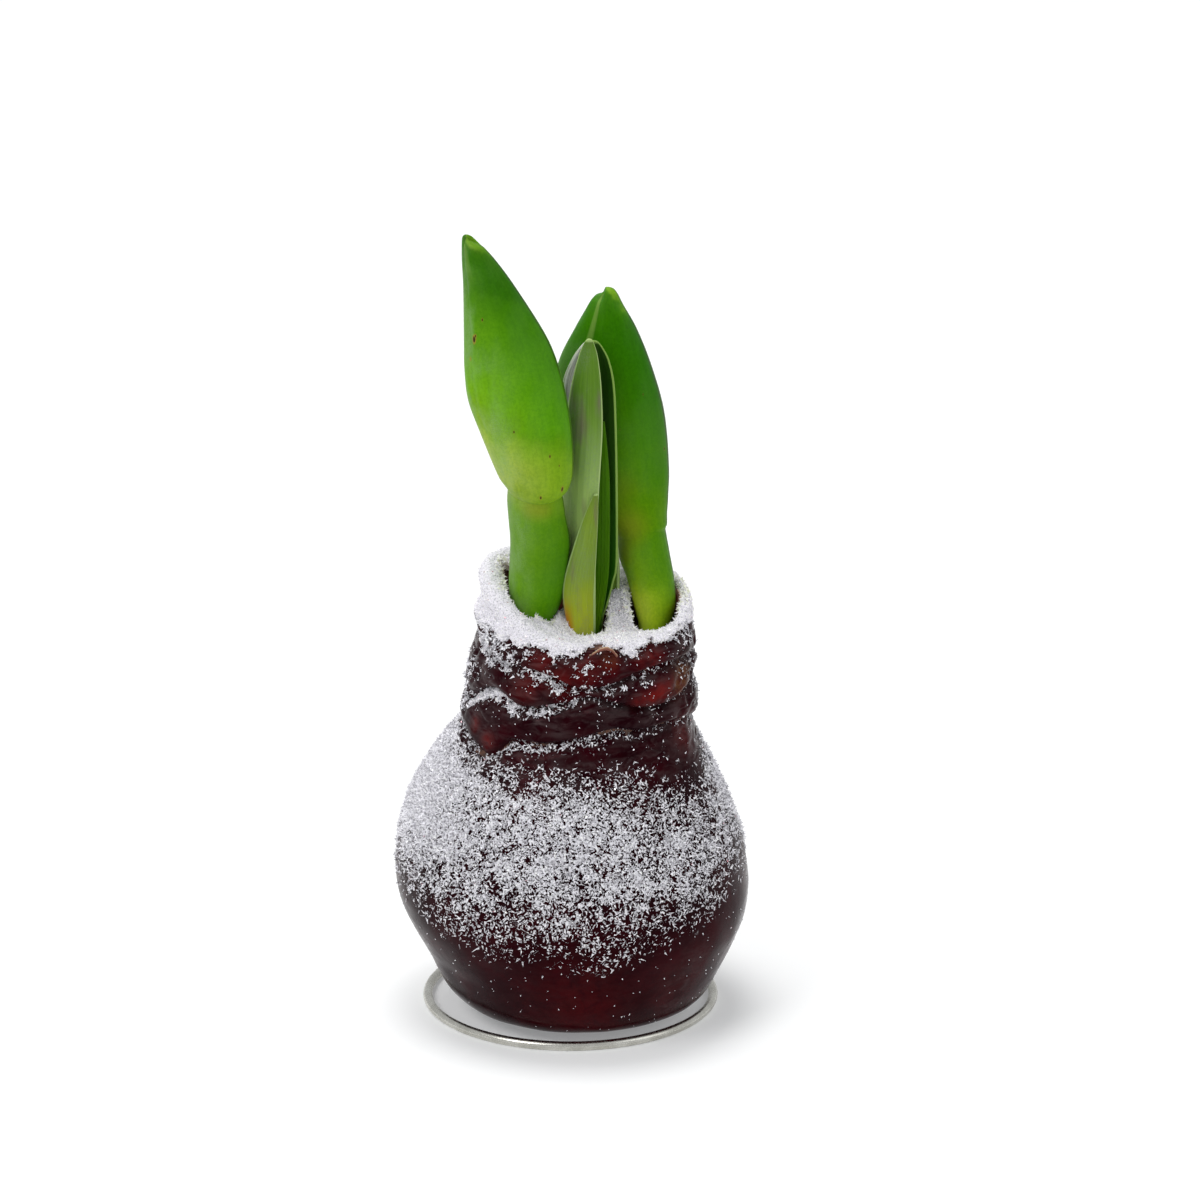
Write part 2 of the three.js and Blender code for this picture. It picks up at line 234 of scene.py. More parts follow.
def catmull_rom(rows, steps):
    """A smooth run through rows of numbers, read at evenly spaced places."""
    rows = np.asarray(rows, float)
    last = len(rows) - 1
    places = np.linspace(0, last, steps + 1)
    index = np.minimum(np.floor(places).astype(int), last - 1)
    t = (places - index)[:, None]
    before, start, end, after = (rows[np.clip(index + step, 0, last)] for step in (-1, 0, 1, 2))
    leave = (end - before) / 2
    arrive = (after - start) / 2
    cubic = 2 * start - 2 * end + leave + arrive
    square = 3 * end - 3 * start - 2 * leave - arrive
    return cubic * t**3 + square * t**2 + leave * t + start


def round_run(points, degrees, blur=3):
    """A smooth closed run through (degrees, value...) points, read at some angles."""
    table = np.asarray(sorted(points), float)
    every = np.arange(360)
    kernel = np.ones(2 * blur + 1) / (2 * blur + 1)
    runs = []
    for column in range(1, table.shape[1]):
        values = np.interp(every, table[:, 0] % 360, table[:, column], period=360)
        for _ in range(2):
            values = np.convolve(np.pad(values, blur, mode="wrap"), kernel, mode="valid")
        runs.append(np.interp(degrees, every, values, period=360))
    return runs


def lumps(points, size, octaves, seed):
    """Fractal noise of about -1 to 1 at each point, with lumps about size across."""
    shift = Vector((seed, -seed, 2 * seed))
    flat = np.asarray(points, float).reshape(-1, 3) / size
    values = [noise.fractal(Vector(p) + shift, 1.0, 2.0, octaves) for p in flat.tolist()]
    return np.array(values).reshape(np.shape(points)[:-1])


def make_piece(name, points, faces, attributes, material, slot, stands_for=None):
    """A piece in metres from points in millimetres, with its material. The slot is not used."""
    mesh = bpy.data.meshes.new(name)
    mesh.from_pydata((points * MM).tolist(), [], faces)
    for key, values in attributes.items():
        values = np.asarray(values, np.float32)
        kind, field = ("FLOAT", "value") if values.ndim == 1 else ("FLOAT_VECTOR", "vector")
        mesh.attributes.new(key, kind, "POINT").data.foreach_set(field, values.ravel())
    mesh.polygons.foreach_set("use_smooth", [True] * len(mesh.polygons))
    mesh.validate()
    mesh.update()
    mesh.materials.append(material)
    piece = new_object(name, mesh)
    if stands_for:
        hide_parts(stands_for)
    return piece


def ring_faces(rows, count, closed_rows=False):
    """Quads over a stack of rings of points, the last ring joined to the first if asked."""
    faces = []
    for row in range(rows if closed_rows else rows - 1):
        low = row * count
        high = (row + 1) % rows * count
        for i in range(count):
            after = (i + 1) % count
            faces.append((low + i, low + after, high + after, high + i))
    return faces


def with_ends(values):
    """Values on a stack of rings, with the middle of the first and of the last ring added."""
    flat = values.reshape(values.shape[0] * values.shape[1], *values.shape[2:])
    return np.concatenate([flat, [values[0].mean(0), values[-1].mean(0)]])


def skin_rings(rings):
    """Points and faces of a closed solid over a stack of rings, with a fan at each end."""
    rows, count = rings.shape[:2]
    faces = ring_faces(rows, count)
    start, end, last = rows * count, rows * count + 1, (rows - 1) * count
    for i in range(count):
        after = (i + 1) % count
        faces.append((start, after, i))
        faces.append((end, last + i, last + after))
    return with_ends(rings), faces


# ---------------------------------------------------------------- geometry node trees

GRAIN_TURN = (1, 1, math.pi)
GRAIN_SMALLEST = (0.6, 0.6, 0.45)
GRAIN_LARGEST = (1.4, 1.4, 1.5)
SHAPE_SEED_STEP = 7


def new_tree(name, kinds):
    """A geometry tree with a mesh in and out and named inputs, and what it is given."""
    tree = bpy.data.node_groups.new(name, "GeometryNodeTree")
    for label, kind in {"Geometry": "Geometry", **kinds, "Material": "Material"}.items():
        tree.interface.new_socket(label, in_out="INPUT", socket_type="NodeSocket" + kind)
    tree.interface.new_socket("Geometry", in_out="OUTPUT", socket_type="NodeSocketGeometry")
    nodes = Nodes(tree)
    return nodes, nodes.node("NodeGroupInput").outputs


def end_tree(nodes, given, shape):
    """Ends a tree with real geometry in the given material."""
    real = nodes.add("GeometryNodeRealizeInstances", {0: shape})
    painted = {"Geometry": real, "Material": given["Material"]}
    nodes.node("NodeGroupOutput", {"Geometry": nodes.add("GeometryNodeSetMaterial", painted)})
    return nodes.tree


def grain_tree():
    """Strews small three-sided shards over a surface, as densely as its own attribute says."""
    sizes = {"Grain Size": "Float", "Length": "Float", "Tilt": "Float"}
    kinds = {"Grains per Area": "Float", "Where": "String", **sizes, "Seed": "Int"}
    nodes, given = new_tree("strewn_grains", kinds)
    named = "GeometryNodeInputNamedAttribute"
    amount = nodes.add(named, {"Name": given["Where"]}, "Attribute", data_type="FLOAT")
    strewn = nodes.node(
        "GeometryNodeDistributePointsOnFaces",
        {
            "Mesh": given["Geometry"],
            "Density": nodes.times(given["Grains per Area"], amount),
            "Seed": given["Seed"],
        },
        distribute_method="RANDOM",
    ).outputs

    def random_vector(least, most, seed):
        inputs = {0: least, 1: most, "Seed": seed}
        return nodes.add("FunctionNodeRandomValue", inputs, data_type="FLOAT_VECTOR")

    turn = random_vector([-part for part in GRAIN_TURN], GRAIN_TURN, given["Seed"])
    tilt = nodes.add("ShaderNodeCombineXYZ", {"X": given["Tilt"], "Y": given["Tilt"], "Z": 1.0})
    lie = {0: strewn["Rotation"], 1: nodes.vector("MULTIPLY", turn, tilt)}
    across = nodes.add("ShaderNodeCombineXYZ", {"X": 1.0, "Y": 1.0, "Z": given["Length"]})
    shape_seed = nodes.math("ADD", given["Seed"], SHAPE_SEED_STEP)
    shape = nodes.vector("MULTIPLY", random_vector(GRAIN_SMALLEST, GRAIN_LARGEST, shape_seed), across)
    size = {0: shape, "Scale": given["Grain Size"]}
    shard = {"Vertices": 3, "Radius Top": 0.0, "Radius Bottom": 0.5, "Depth": 1.0}
    placed = {
        "Points": strewn["Points"],
        "Instance": nodes.add("GeometryNodeMeshCone", shard),
        "Rotation": nodes.add("FunctionNodeRotateRotation", lie, rotation_space="LOCAL"),
        "Scale": nodes.add("ShaderNodeVectorMath", size, operation="SCALE"),
    }
    return end_tree(nodes, given, nodes.add("GeometryNodeInstanceOnPoints", placed))


def rod_tree():
    """Draws a round rod of one diameter along a line of points."""
    nodes, given = new_tree("round_rod", {"Diameter": "Float", "Sides": "Int"})
    half = nodes.math("DIVIDE", given["Diameter"], 2)
    section = {"Resolution": given["Sides"], "Radius": half}
    run = {
        "Curve": nodes.add("GeometryNodeMeshToCurve", {"Mesh": given["Geometry"]}),
        "Profile Curve": nodes.add("GeometryNodeCurvePrimitiveCircle", section, mode="RADIUS"),
        "Fill Caps": True,
    }
    rod = nodes.add("GeometryNodeCurveToMesh", run)
    return end_tree(nodes, given, nodes.add("GeometryNodeSetShadeSmooth", {"Geometry": rod}))


def grow_piece(name, source, tree, values, stands_for=None):
    """Runs a tree on a source object and keeps the result as a plain mesh of its own."""
    modifier = source.modifiers.new(name, "NODES")
    modifier.node_group = tree
    for item in tree.interface.items_tree:
        if item.in_out == "INPUT" and item.name in values:
            modifier[item.identifier] = values[item.name]
    graph = bpy.context.evaluated_depsgraph_get()
    mesh = bpy.data.meshes.new_from_object(source.evaluated_get(graph), depsgraph=graph)
    source.modifiers.remove(modifier)
    mesh.name = name
    piece = new_object(name, mesh)
    if stands_for:
        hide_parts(stands_for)
    return piece


# ---------------------------------------------------------------- the bulb's shape

BASE_HEIGHT = 2.7
NECK_HEIGHT = 113.4
CREST_HEIGHT = NECK_HEIGHT - 0.05
NECK_CENTRE_X = 3.9

# Half of the outline as radius and height, from the edge of the flat base to the dished top.
BULB_OUTLINE = [
    (24, BASE_HEIGHT), (29.5, 3.5), (33.6, 7.2), (38.7, 16), (43.7, 28), (45, 38), (43.9, 47.5),
    (38.7, 61), (32.2, 73), (29.9, 79.5), (28.6, 92), (27.8, 103), (27.3, 108.8), (25.9, 112.2),
    (23.2, NECK_HEIGHT), (19.5, 112.5), (13, 110.5), (6, 109.6), (0, 109.4),
]
OUTLINE_STEPS = 2999

# The bulb leans: its middle line bows away from the height of its belly, and its mouth slopes.
BOW_HEIGHT = 50
BOW_X = 2.9
BOW_Y = -2
SLOPE_X = -0.11
SLOPE_Y = 0.17
SLOPE_START = 82

# The bulb isn't quite round: height, and how far its left and its right side stand out there.
SIDES = [
    (8, 0, 0), (16, -1.2, 0.3), (24, -0.8, 0.8), (33, -0.3, 0.2), (40, -0.3, -0.6),
    (49, -0.4, -1.0), (57, 0, -1.4), (65, -0.1, -1.2), (71, -0.4, -0.4), (75, -1.0, 0.5),
    (80, -1.5, 1.0), (85, -1.4, 0.8), (95, -1.9, 0.2), (102, -1.3, -0.1), (106, -2.4, -0.5),
    (110, -2.0, -0.4), (114, -1.4, -0.3),
]
# How far the crest of the mouth dips below its plain shape: angle and depth.
CREST_DIP = [
    (-180, 0), (-160, 0.4), (-140, 1.8), (-125, 3.4), (-113, 4.1), (-92, 3.7), (-78, 2.5),
    (-68, 2.6), (-45, 3.3), (-25, 2.6), (-5, 1.0), (20, 0), (90, 0), (150, 0),
]
DIP_FROM = 105
DIP_MIDDLE = 1


def read_outline():
    """The outline as close readings: length along it, radius, height and outward direction."""
    line = catmull_rom(BULB_OUTLINE, OUTLINE_STEPS)
    line[:, 0] = np.maximum(line[:, 0], 0)
    along = np.gradient(line, axis=0)
    along /= np.linalg.norm(along, axis=1)[:, None]
    length = np.concatenate([[0], np.cumsum(np.linalg.norm(np.diff(line, axis=0), axis=1))])
    return np.column_stack([length, line, along[:, 1], -along[:, 0]])


OUTLINE = read_outline()
OUTLINE_LENGTH = OUTLINE[-1, 0]


def outline_at(length):
    """Radius, height and outward direction at lengths along the outline."""
    return [np.interp(length, OUTLINE[:, 0], OUTLINE[:, column]) for column in (1, 2, 3, 4)]


def length_at_height(height):
    """How far along the outside of the outline a height is reached."""
    rising = OUTLINE[: np.argmax(OUTLINE[:, 2])]
    return np.interp(height, rising[:, 2], rising[:, 0])


def crest_dip(height, degrees):
    """How far the crest's dip lowers a place at some height and angle."""
    share = np.clip((height - DIP_FROM) / (NECK_HEIGHT - DIP_FROM), 0, 1)
    return share * round_run(CREST_DIP, degrees, 5)[0]


def bulb_points(radius, height, angle):
    """Points on the bulb's uneven shape, from their places on the plain round one."""
    table = np.asarray(SIDES, float)
    out = 0
    for side, column in ((-1, 1), (1, 2)):
        share = smooth((side * np.cos(angle) - 0.3) / 0.6)
        out = out + share * np.interp(height, table[:, 0], table[:, column])
    radius = radius + out * smooth((radius - 17) / 6)
    bow = (height - BOW_HEIGHT) / BOW_HEIGHT
    lump = 1 + 0.008 * np.cos(2 * angle + 0.6) + 0.006 * np.cos(3 * angle - 1.1)
    x = BOW_X * bow**2 + radius * lump * np.cos(angle)
    y = np.where(bow < 0, BOW_Y * bow**2, 0) + radius * lump * np.sin(angle)
    slope = SLOPE_X * (x - NECK_CENTRE_X) + SLOPE_Y * y
    rise = smooth((height - SLOPE_START) / (NECK_HEIGHT - SLOPE_START))
    away = smooth(radius / 16)
    dip = crest_dip(height, np.degrees(angle) % 360) * away
    dip = dip + (1 - away) * DIP_MIDDLE * (height > DIP_FROM)
    return np.stack([x, y, height + slope * rise - dip], -1)


def surface_points(length, proud):
    """Points that stand proud of the bulb's shape, for a row of lengths and every angle."""
    radius, height, out_r, out_h = (column[:, None] for column in outline_at(length))
    turn = np.broadcast_to(angles, (len(length), COLUMNS))
    return bulb_points(np.maximum(radius + proud * out_r, 0), height + proud * out_h, turn)


# ---------------------------------------------------------------- the folds of the neck

COLUMNS = 336
angles = np.linspace(0, 2 * math.pi, COLUMNS, endpoint=False)
angle_degrees = np.degrees(angles)

# Each groove runs round the neck beneath the lip of one fold of wax, where the next fold comes out
# as a ledge. Each entry is the angle, the groove's height, and how much snow lies on that ledge.
# Angles are in degrees: -90 is the front, 180 the left, 0 the right and 90 the back.
UPPER_GROOVE = [
    (-180, 102, 0.7), (-165, 101.2, 0.95), (-150, 99.3, 0.95), (-138, 99, 0.6), (-125, 99.8, 0.5),
    (-112, 100.6, 0.55), (-103, 99.3, 0.5), (-95, 97.4, 0.4), (-86, 96.2, 0.28), (-76, 97.6, 0.2),
    (-64, 101, 0.4), (-52, 102.3, 0.4), (-37, 101.7, 0.12), (-13, 99.5, 0.12), (12, 97, 0.4),
    (45, 99.5, 0.7), (80, 101, 0.85), (112, 97.5, 0.5), (140, 99, 0.8),
]
MIDDLE_GROOVE = [
    (-180, 85, 0.5), (-170, 83.8, 0.9), (-160, 87, 1.0), (-150, 90.2, 1.0), (-139, 91.6, 1.0),
    (-131, 90.8, 0.95), (-123, 89.2, 0.75), (-114, 89.4, 0.85), (-104, 91.3, 0.8), (-94, 92.6, 0.5),
    (-85, 94.6, 0.3), (-76, 93, 0.12), (-62, 90, 0.05), (-48, 88.2, 0.05), (-36, 88.6, 0.1),
    (-19, 90, 0.1), (0, 93, 0.25), (30, 89, 0.5), (62, 87, 0.6), (95, 90.5, 0.9), (130, 92, 0.8),
    (158, 88, 0.4),
]
LOWER_GROOVE = [
    (-180, 80, 0.5), (-167, 79, 0.5), (-154, 77, 0.5), (-143, 75.6, 0.45), (-135, 75, 0.45),
    (-130, 76.4, 0.4), (-126, 80.2, 0.65), (-114, 80.6, 0.6), (-104, 80.4, 0.55), (-95, 81.4, 0.5),
    (-81, 83, 0.5), (-68, 84.2, 0.4), (-62, 83, 0.35), (-53, 82.6, 0.3), (-36, 83, 0.15),
    (-20, 81.5, 0.1), (5, 79, 0.3), (40, 81, 0.6), (75, 78, 0.7), (110, 80.5, 0.7), (150, 79, 0.6),
]
FOLD_DEPTH = 1.35
RIM_START = 109
BELOW_FOLDS = 66

# How far a fold stands out, from the groove above it (0) to its own lip (1), as shares and reach.
FOLD = ([0, 0.1, 0.26, 0.42, 0.62, 0.84, 0.94, 1], [-0.8, -0.5, 0.4, 0.86, 1, 0.96, 0.7, 0.05])
RIM_FOLD = ([0, 0.3, 0.6, 0.84, 0.94, 1], [0, 0.25, 0.8, 0.96, 0.7, 0.05])

# Creases that run up and down in the folds: angle, lowest and highest point, and depth.
CREASES = [
    (-172, 86, 99, 0.8), (-159, 88, 101, 0.7), (-128, 75, 81, 0.8), (-88, 84, 93, 0.35),
    (-30, 90, 100, 0.5), (-12, 84, 104, 0.7), (35, 80, 98, 0.6), (88, 82, 100, 0.5),
    (125, 78, 92, 0.7), (160, 88, 104, 0.6),
]
CREASE_WIDTH = 2.4
CREASE_LEAN = 0.9


def neck_folds(height):
    """How far the wax stands proud, and how much snow its ledges hold, on a grid."""
    grooves = (UPPER_GROOVE, MIDDLE_GROOVE, LOWER_GROOVE)
    lines = [round_run(groove, angle_degrees) for groove in grooves]
    height = height[:, None]
    top = np.full(COLUMNS, float(RIM_START))
    foot = np.full(COLUMNS, float(BELOW_FOLDS))
    edges = [top, *[line[0] for line in lines], foot]
    held = [0 * top, *[line[1] for line in lines]]
    proud = np.zeros((len(height), COLUMNS))
    snow = np.zeros_like(proud)
    for index, (upper, lower) in enumerate(zip(edges[:-1], edges[1:])):
        inside = (height <= upper) & (height > lower)
        share = (upper - height) / np.maximum(upper - lower, 0.1)
        depth = FOLD_DEPTH * smooth((upper - lower) / 5)
        below = upper - height
        if index == len(lines):
            reach = depth * -0.8 * (1 - smooth(below / 5))
        else:
            reach = depth * np.interp(share, *(FOLD if index else RIM_FOLD))
        proud = np.where(inside, reach, proud)
        shelf = smooth(below / 0.5) * (1 - smooth((below - 1.3 - 1.5 * held[index]) / 1.2))
        snow = np.where(inside, shelf * held[index], snow)
    for middle, low, high, depth in CREASES:
        lean = middle + CREASE_LEAN * (height - (low + high) / 2)
        away = (angle_degrees - lean + 180) % 360 - 180
        reach = smooth((height - low) / 3) * smooth((high - height) / 3)
        proud = proud - depth * reach * np.exp(-((away / CREASE_WIDTH) ** 2))
    return proud, snow


# ---------------------------------------------------------------- where the snow lies

# The snow on the belly: angle, the heights where it starts and where it is full, how closely it
# lies there, and the heights where it starts to thin out under the neck and where it is gone.
BELLY_SNOW = [
    (-180, 37, 54, 0.97, 75, 79), (-155, 34, 53, 0.95, 71.5, 76.5), (-140, 27, 52, 0.89, 69.5, 76),
    (-125, 25, 54, 0.79, 68, 75), (-110, 22, 51, 0.73, 66, 76.5), (-95, 22, 53, 0.80, 66.5, 75.5),
    (-80, 21, 51, 0.78, 66, 76), (-65, 25, 46, 0.71, 62, 76), (-50, 30, 46, 0.70, 60, 72),
    (-35, 31, 47, 0.58, 57, 71), (-20, 36, 54, 0.57, 58, 70), (0, 38, 55, 0.74, 64, 75),
    (40, 34, 54, 0.84, 70, 78), (80, 28, 50, 0.86, 74, 79), (120, 30, 50, 0.88, 74, 79),
    (150, 33, 52, 0.93, 75, 79.5),
]
# How many grains a cover needs, next to the flecks that are painted on the wax.
GRAINS_FOR_COVER = 0.33
FLECKS_SHARE = 0.5
# Loose snow on the folds: angle, height, reach and how closely it lies.
NECK_SNOW = [
    (-178, 90, 6, 0.55), (-176, 84, 4, 0.6), (-165, 104, 3, 0.7), (-160, 105.5, 3, 0.6),
    (-156, 102.5, 2.6, 0.8), (-148, 102.5, 2.6, 0.8), (-141, 102, 2.6, 0.8), (-134, 101.2, 2.4, 0.85),
    (-128, 100.5, 2.2, 0.85), (-121, 99.2, 2, 0.8), (-111, 98.4, 1.9, 0.8), (-104.5, 97.8, 1.8, 0.75),
    (-100, 96.2, 1.6, 0.65), (-97, 94, 1.5, 0.55), (-91.5, 92.5, 1.8, 0.45), (-122, 104, 2.4, 0.4),
    (-110, 104, 2, 0.28), (-103, 103, 2, 0.3), (-94, 102.8, 2, 0.28), (-87, 104.5, 1.5, 0.6),
    (-77, 104.4, 1.4, 0.65), (-67, 107, 1.5, 0.95), (-83, 99, 3.6, 0.26), (-66, 97.5, 1.7, 0.6),
    (-75, 97, 2.2, 0.32), (-54.5, 99, 1.8, 0.7), (-38.5, 91, 1.4, 0.65), (-25, 97, 1.8, 0.45),
    (-19, 94.5, 1.5, 0.4), (-15, 107.2, 2.6, 0.8), (-22, 105.6, 2.2, 0.6), (-29, 108.6, 1.8, 0.6),
    (-8, 97, 2.6, 0.5), (0, 88, 4, 0.5), (40, 97, 5, 0.6), (95, 101, 5, 0.6), (135, 97, 5, 0.7),
]
# Where the wax is painted a lighter grey as painted sheen, standing in for the soft reflections on its
# gloss: angle, height, reach and strength.
SHEEN_SPOTS = [
    (-153, 93, 5.5, 1.0), (-140, 89.5, 3, 0.6), (-172, 97, 4, 0.7), (-108, 87, 3.4, 0.75),
    (-98, 84.6, 3, 0.5), (-36, 102.6, 3.2, 0.8), (-26, 104.6, 3, 0.7), (-48, 100.4, 2.6, 0.6),
    (-50, 86.5, 3.4, 0.8), (-33, 85.2, 3.2, 0.7), (-44, 94.4, 2.2, 0.55), (-30, 95.5, 2.2, 0.5),
    (-6, 86, 5, 1.0), (-16, 80, 5, 0.6), (-140, 80, 4, 0.45), (-125, 93.5, 4, 0.5),
    (-72, 88, 3, 0.4), (35, 88, 6, 0.8), (80, 95, 6, 0.7), (130, 88, 6, 0.8),
    (-44, 23, 4.5, 0.3), (-46, 16, 4.5, 0.42), (-47, 9, 4, 0.35), (-140, 20, 6, 0.25),
]
# Where the wax is thin and glows red.
GLOWS = [
    (-137, 78, 2, 0.6), (-150, 80.5, 1.8, 0.6), (-60, 91.6, 1.7, 0.45), (-55, 91.8, 1.8, 0.7),
    (-50, 92.2, 2.0, 0.9), (-45.5, 93.2, 2.3, 1.0), (-41, 93.4, 2.1, 0.9), (-36, 94.6, 1.6, 0.5),
    (-58, 106.6, 2.8, 0.36), (-50, 106.5, 3.4, 0.45), (-77, 106, 3, 0.45), (-88, 103, 4.5, 0.44),
    (-112, 103.5, 4, 0.38), (-100, 99, 4, 0.42), (-118, 95.5, 4, 0.38), (-30, 92, 3, 0.35),
    (-24, 78, 5, 0.3), (-88, 14, 16, 0.16), (-50, 16, 12, 0.1), (30, 92, 6, 0.8),
    (75, 86, 6, 0.7), (120, 96, 6, 0.8), (95, 14, 16, 0.5),
]
# Where a tan scale shows through the wax.
TAN_SPOTS = [(-25, 95, 3.6, 1.0), (-31, 92.5, 2.6, 0.7), (-77, 108.5, 2, 0.55), (52, 100, 4, 0.7)]


def belly_snow(points, height):
    """How much of the wax the snow covers below the folds, from 0 to 1, on a grid."""
    start, full, close, thins, gone = round_run(BELLY_SNOW, angle_degrees, 6)
    ragged = 2.2 * lumps(points, 9, 3, 1.7) + 1.2 * lumps(points, 2.5, 2, 4.1)
    height = height[:, None] - ragged
    cover = close * np.clip((height - start) / (full - start), 0, 1)
    cover = cover * (1 - 0.96 * np.clip((height - thins) / (gone - thins), 0, 1))
    uneven = 0.8 * lumps(points, 6, 3, 8.3) + 2.0 * lumps(points, 1.8, 2, 1.3)
    return np.clip(cover + uneven * cover * (1 - cover), 0, 1)


def grains_for(cover):
    """How closely grains are strewn to give a cover, from 0 to about 1."""
    cover = np.clip(cover, 0, 0.975)
    return GRAINS_FOR_COVER * np.log((1 - FLECKS_SHARE * cover) / (1 - cover))


def spots_on(points, outline, spots):
    """Soft round spots on a grid of points, each given as angle, height, reach and strength."""
    total = np.zeros(points.shape[:2])
    for degrees, height, reach, strength in spots:
        radius = np.interp(height, outline[:, 1], outline[:, 0])
        middle = bulb_points(radius, np.array(float(height)), math.radians(degrees))
        away = np.linalg.norm(points - middle, axis=-1)
        total = np.maximum(total, strength * np.exp(-((away / reach) ** 2)))
    return total


# ---------------------------------------------------------------- paint for the bulb, wax and snow

WAX_DARK = (0.0085, 0.0008, 0.0022)
WAX_RED = (0.022, 0.0010, 0.0030)
WAX_GLOW = (0.16, 0.010, 0.008)
WAX_DUST_AND_SHEEN = (0.066, 0.046, 0.047)
WAX_PAINTED_SHADE = (0.006, 0.0015, 0.002)
WAX_TAN = (0.125, 0.050, 0.020)
WAX_TINT = {"IOR": 1.12, "Specular Tint": (0.9, 0.16, 0.2)}
WAX_SHEEN = {"Sheen Weight": 0.015, "Sheen Roughness": 0.35, "Sheen Tint": (1.0, 0.86, 0.88)}
SNOW_WHITE = (0.88, 0.855, 0.915)
SNOW_GREY = (0.34, 0.34, 0.36)
FLECK_SIZE = 1.0
FLECK_GREY = (0.34, 0.33, 0.36)
FLECK_WHITE = (0.80, 0.79, 0.83)
GRAIN_GREY = (0.36, 0.35, 0.38)
GRAIN_PALE = (0.90, 0.89, 0.93)
GRAIN_GLINT_WHITE = (1.0, 1.0, 1.0)
GLINT_SHIFT = (40, 0, 0)
CRYSTAL_WHITE = (0.92, 0.90, 0.95)
CRYSTAL_PALE = (0.94, 0.93, 0.91)
CRYSTAL_GREEN = (0.90, 0.91, 0.77)
GLITTER_SILVER = (0.95, 0.95, 0.97)
GLITTER_PINK = (0.95, 0.42, 0.50)
SCALE_DARK = (0.030, 0.010, 0.005)
SCALE_BROWN = (0.17, 0.060, 0.026)
SCALE_CREAM = (0.42, 0.27, 0.16)
SCALE_RUST = (0.20, 0.045, 0.030)


def paint_wax(paint):
    """Dark red wax, thin in places, under a scatter of snow as close as the attribute says."""
    place = paint.place()
    snow = paint.attribute("snow")
    colour = paint.mix(paint.patches(place, (11, 3, 0.55), 0.35, 0.72), WAX_DARK, WAX_RED)
    # Grey dust and painted sheen: partly real bloom on the wax, partly a grey that stands in for the soft
    # reflections of its gloss.
    dust_and_sheen_patches = paint.patches(paint.place((1, 1, 2.2)), (5, 4, 0.65, 0.8), 0.36, 0.66)
    colour = paint.mix(paint.times(dust_and_sheen_patches, paint.attribute("dust_and_sheen")), colour, WAX_DUST_AND_SHEEN)
    cloud = paint.patches(place, (3.2, 3, 0.6, 0.6), 0.25, 0.6, 0.35, 1.0)
    colour = paint.mix(paint.times(paint.attribute("glow"), cloud), colour, WAX_GLOW)
    mottled = paint.patches(place, (1.8, 3, 0.65), 0.36, 0.6, 0.2, 1.0)
    colour = paint.mix(paint.times(paint.attribute("tan"), mottled), colour, WAX_TAN)
    # Painted shade: the wax is darkened where snow lies, standing in for the shade among the grains.
    colour = paint.mix(paint.times(snow, 0.7), colour, WAX_PAINTED_SHADE)

    pattern = paint.noise(place, FLECK_SIZE, 2.0, 0.55, 1.2)
    edge = paint.mix_values(snow, 0.66, 0.49)
    flecks = paint.ease(paint.math("SUBTRACT", pattern, edge), -0.01, 0.025)
    flecks = paint.times(flecks, paint.ease(snow, 0.02, 0.12))
    tone = paint.patches(place, (0.5, 2), 0.3, 0.7)
    tone = paint.math("ADD", tone, paint.ease(snow, 0.3, 1.0, 0.0, 0.6), True)
    colour = paint.mix(flecks, colour, paint.mix(tone, FLECK_GREY, FLECK_WHITE))

    gloss = paint.patches(paint.place((1, 1, 2)), (5, 4, 0.6), 0.3, 0.7, 0.13, 0.28)
    ripples = paint.noise(place, 2.6, 3, 0.5)
    height = paint.math("ADD", paint.times(ripples, 0.16), paint.times(flecks, 0.6))
    roughness = paint.mix_values(flecks, gloss, 0.85)
    paint.finish(colour, roughness, {**WAX_TINT, **WAX_SHEEN}, (height, 0.35, 1))


def paint_snow(paint):
    """Packed artificial snow: white, grainy, a little grey where it lies thin, and grey as painted shade
    deep between the shoots.
    """
    place = paint.place()
    grains = paint.noise(place, 0.42, 3, 0.65)
    clumps = paint.noise(place, 3.5, 3, 0.55)
    thin = paint.attribute("thin")
    even = paint.math("ADD", paint.ease(grains, 0.3, 0.6), paint.times(clumps, 0.4))
    even = paint.math("SUBTRACT", even, paint.times(thin, 0.75), True)
    specks = paint.patches(place, (0.6, 3, 0.7), 0.42, 0.58, 0.0, 0.8)
    level = paint.mix_values(paint.ease(thin, 0.15, 0.45), even, specks)
    colour = paint.mix(level, SNOW_GREY, SNOW_WHITE)
    paint.finish(colour, 0.8, {"Specular IOR Level": 0.3}, (grains, 0.5, 0.9))


def paint_grain(paint):
    """Snow grains: pale, some in grey, and a few painted pure white as painted glints."""
    tone = paint.patches(paint.place(), (0.7, 2), 0.34, 0.58)
    # Painted glints: a few grains are painted pure white, standing in for their sparkle.
    bright = paint.patches(paint.place(shift=GLINT_SHIFT), (0.8, 1), 0.6, 0.68)
    paint.finish(paint.mix(bright, paint.mix(tone, GRAIN_GREY, GRAIN_PALE), GRAIN_GLINT_WHITE), 0.45)


def paint_crystals(paint, tint):
    """Loose crystals on the crust: nearly white, here and there with a tint."""
    tone = paint.patches(paint.place(), (0.9, 2), 0.4, 0.6)
    paint.finish(paint.mix(tone, CRYSTAL_WHITE, tint), 0.35)


def paint_glitter(paint):
    tone = paint.patches(paint.place(), (0.9, 1), 0.55, 0.62)
    paint.finish(paint.mix(tone, GLITTER_SILVER, GLITTER_PINK), 0.16, {"Metallic": 0.6})


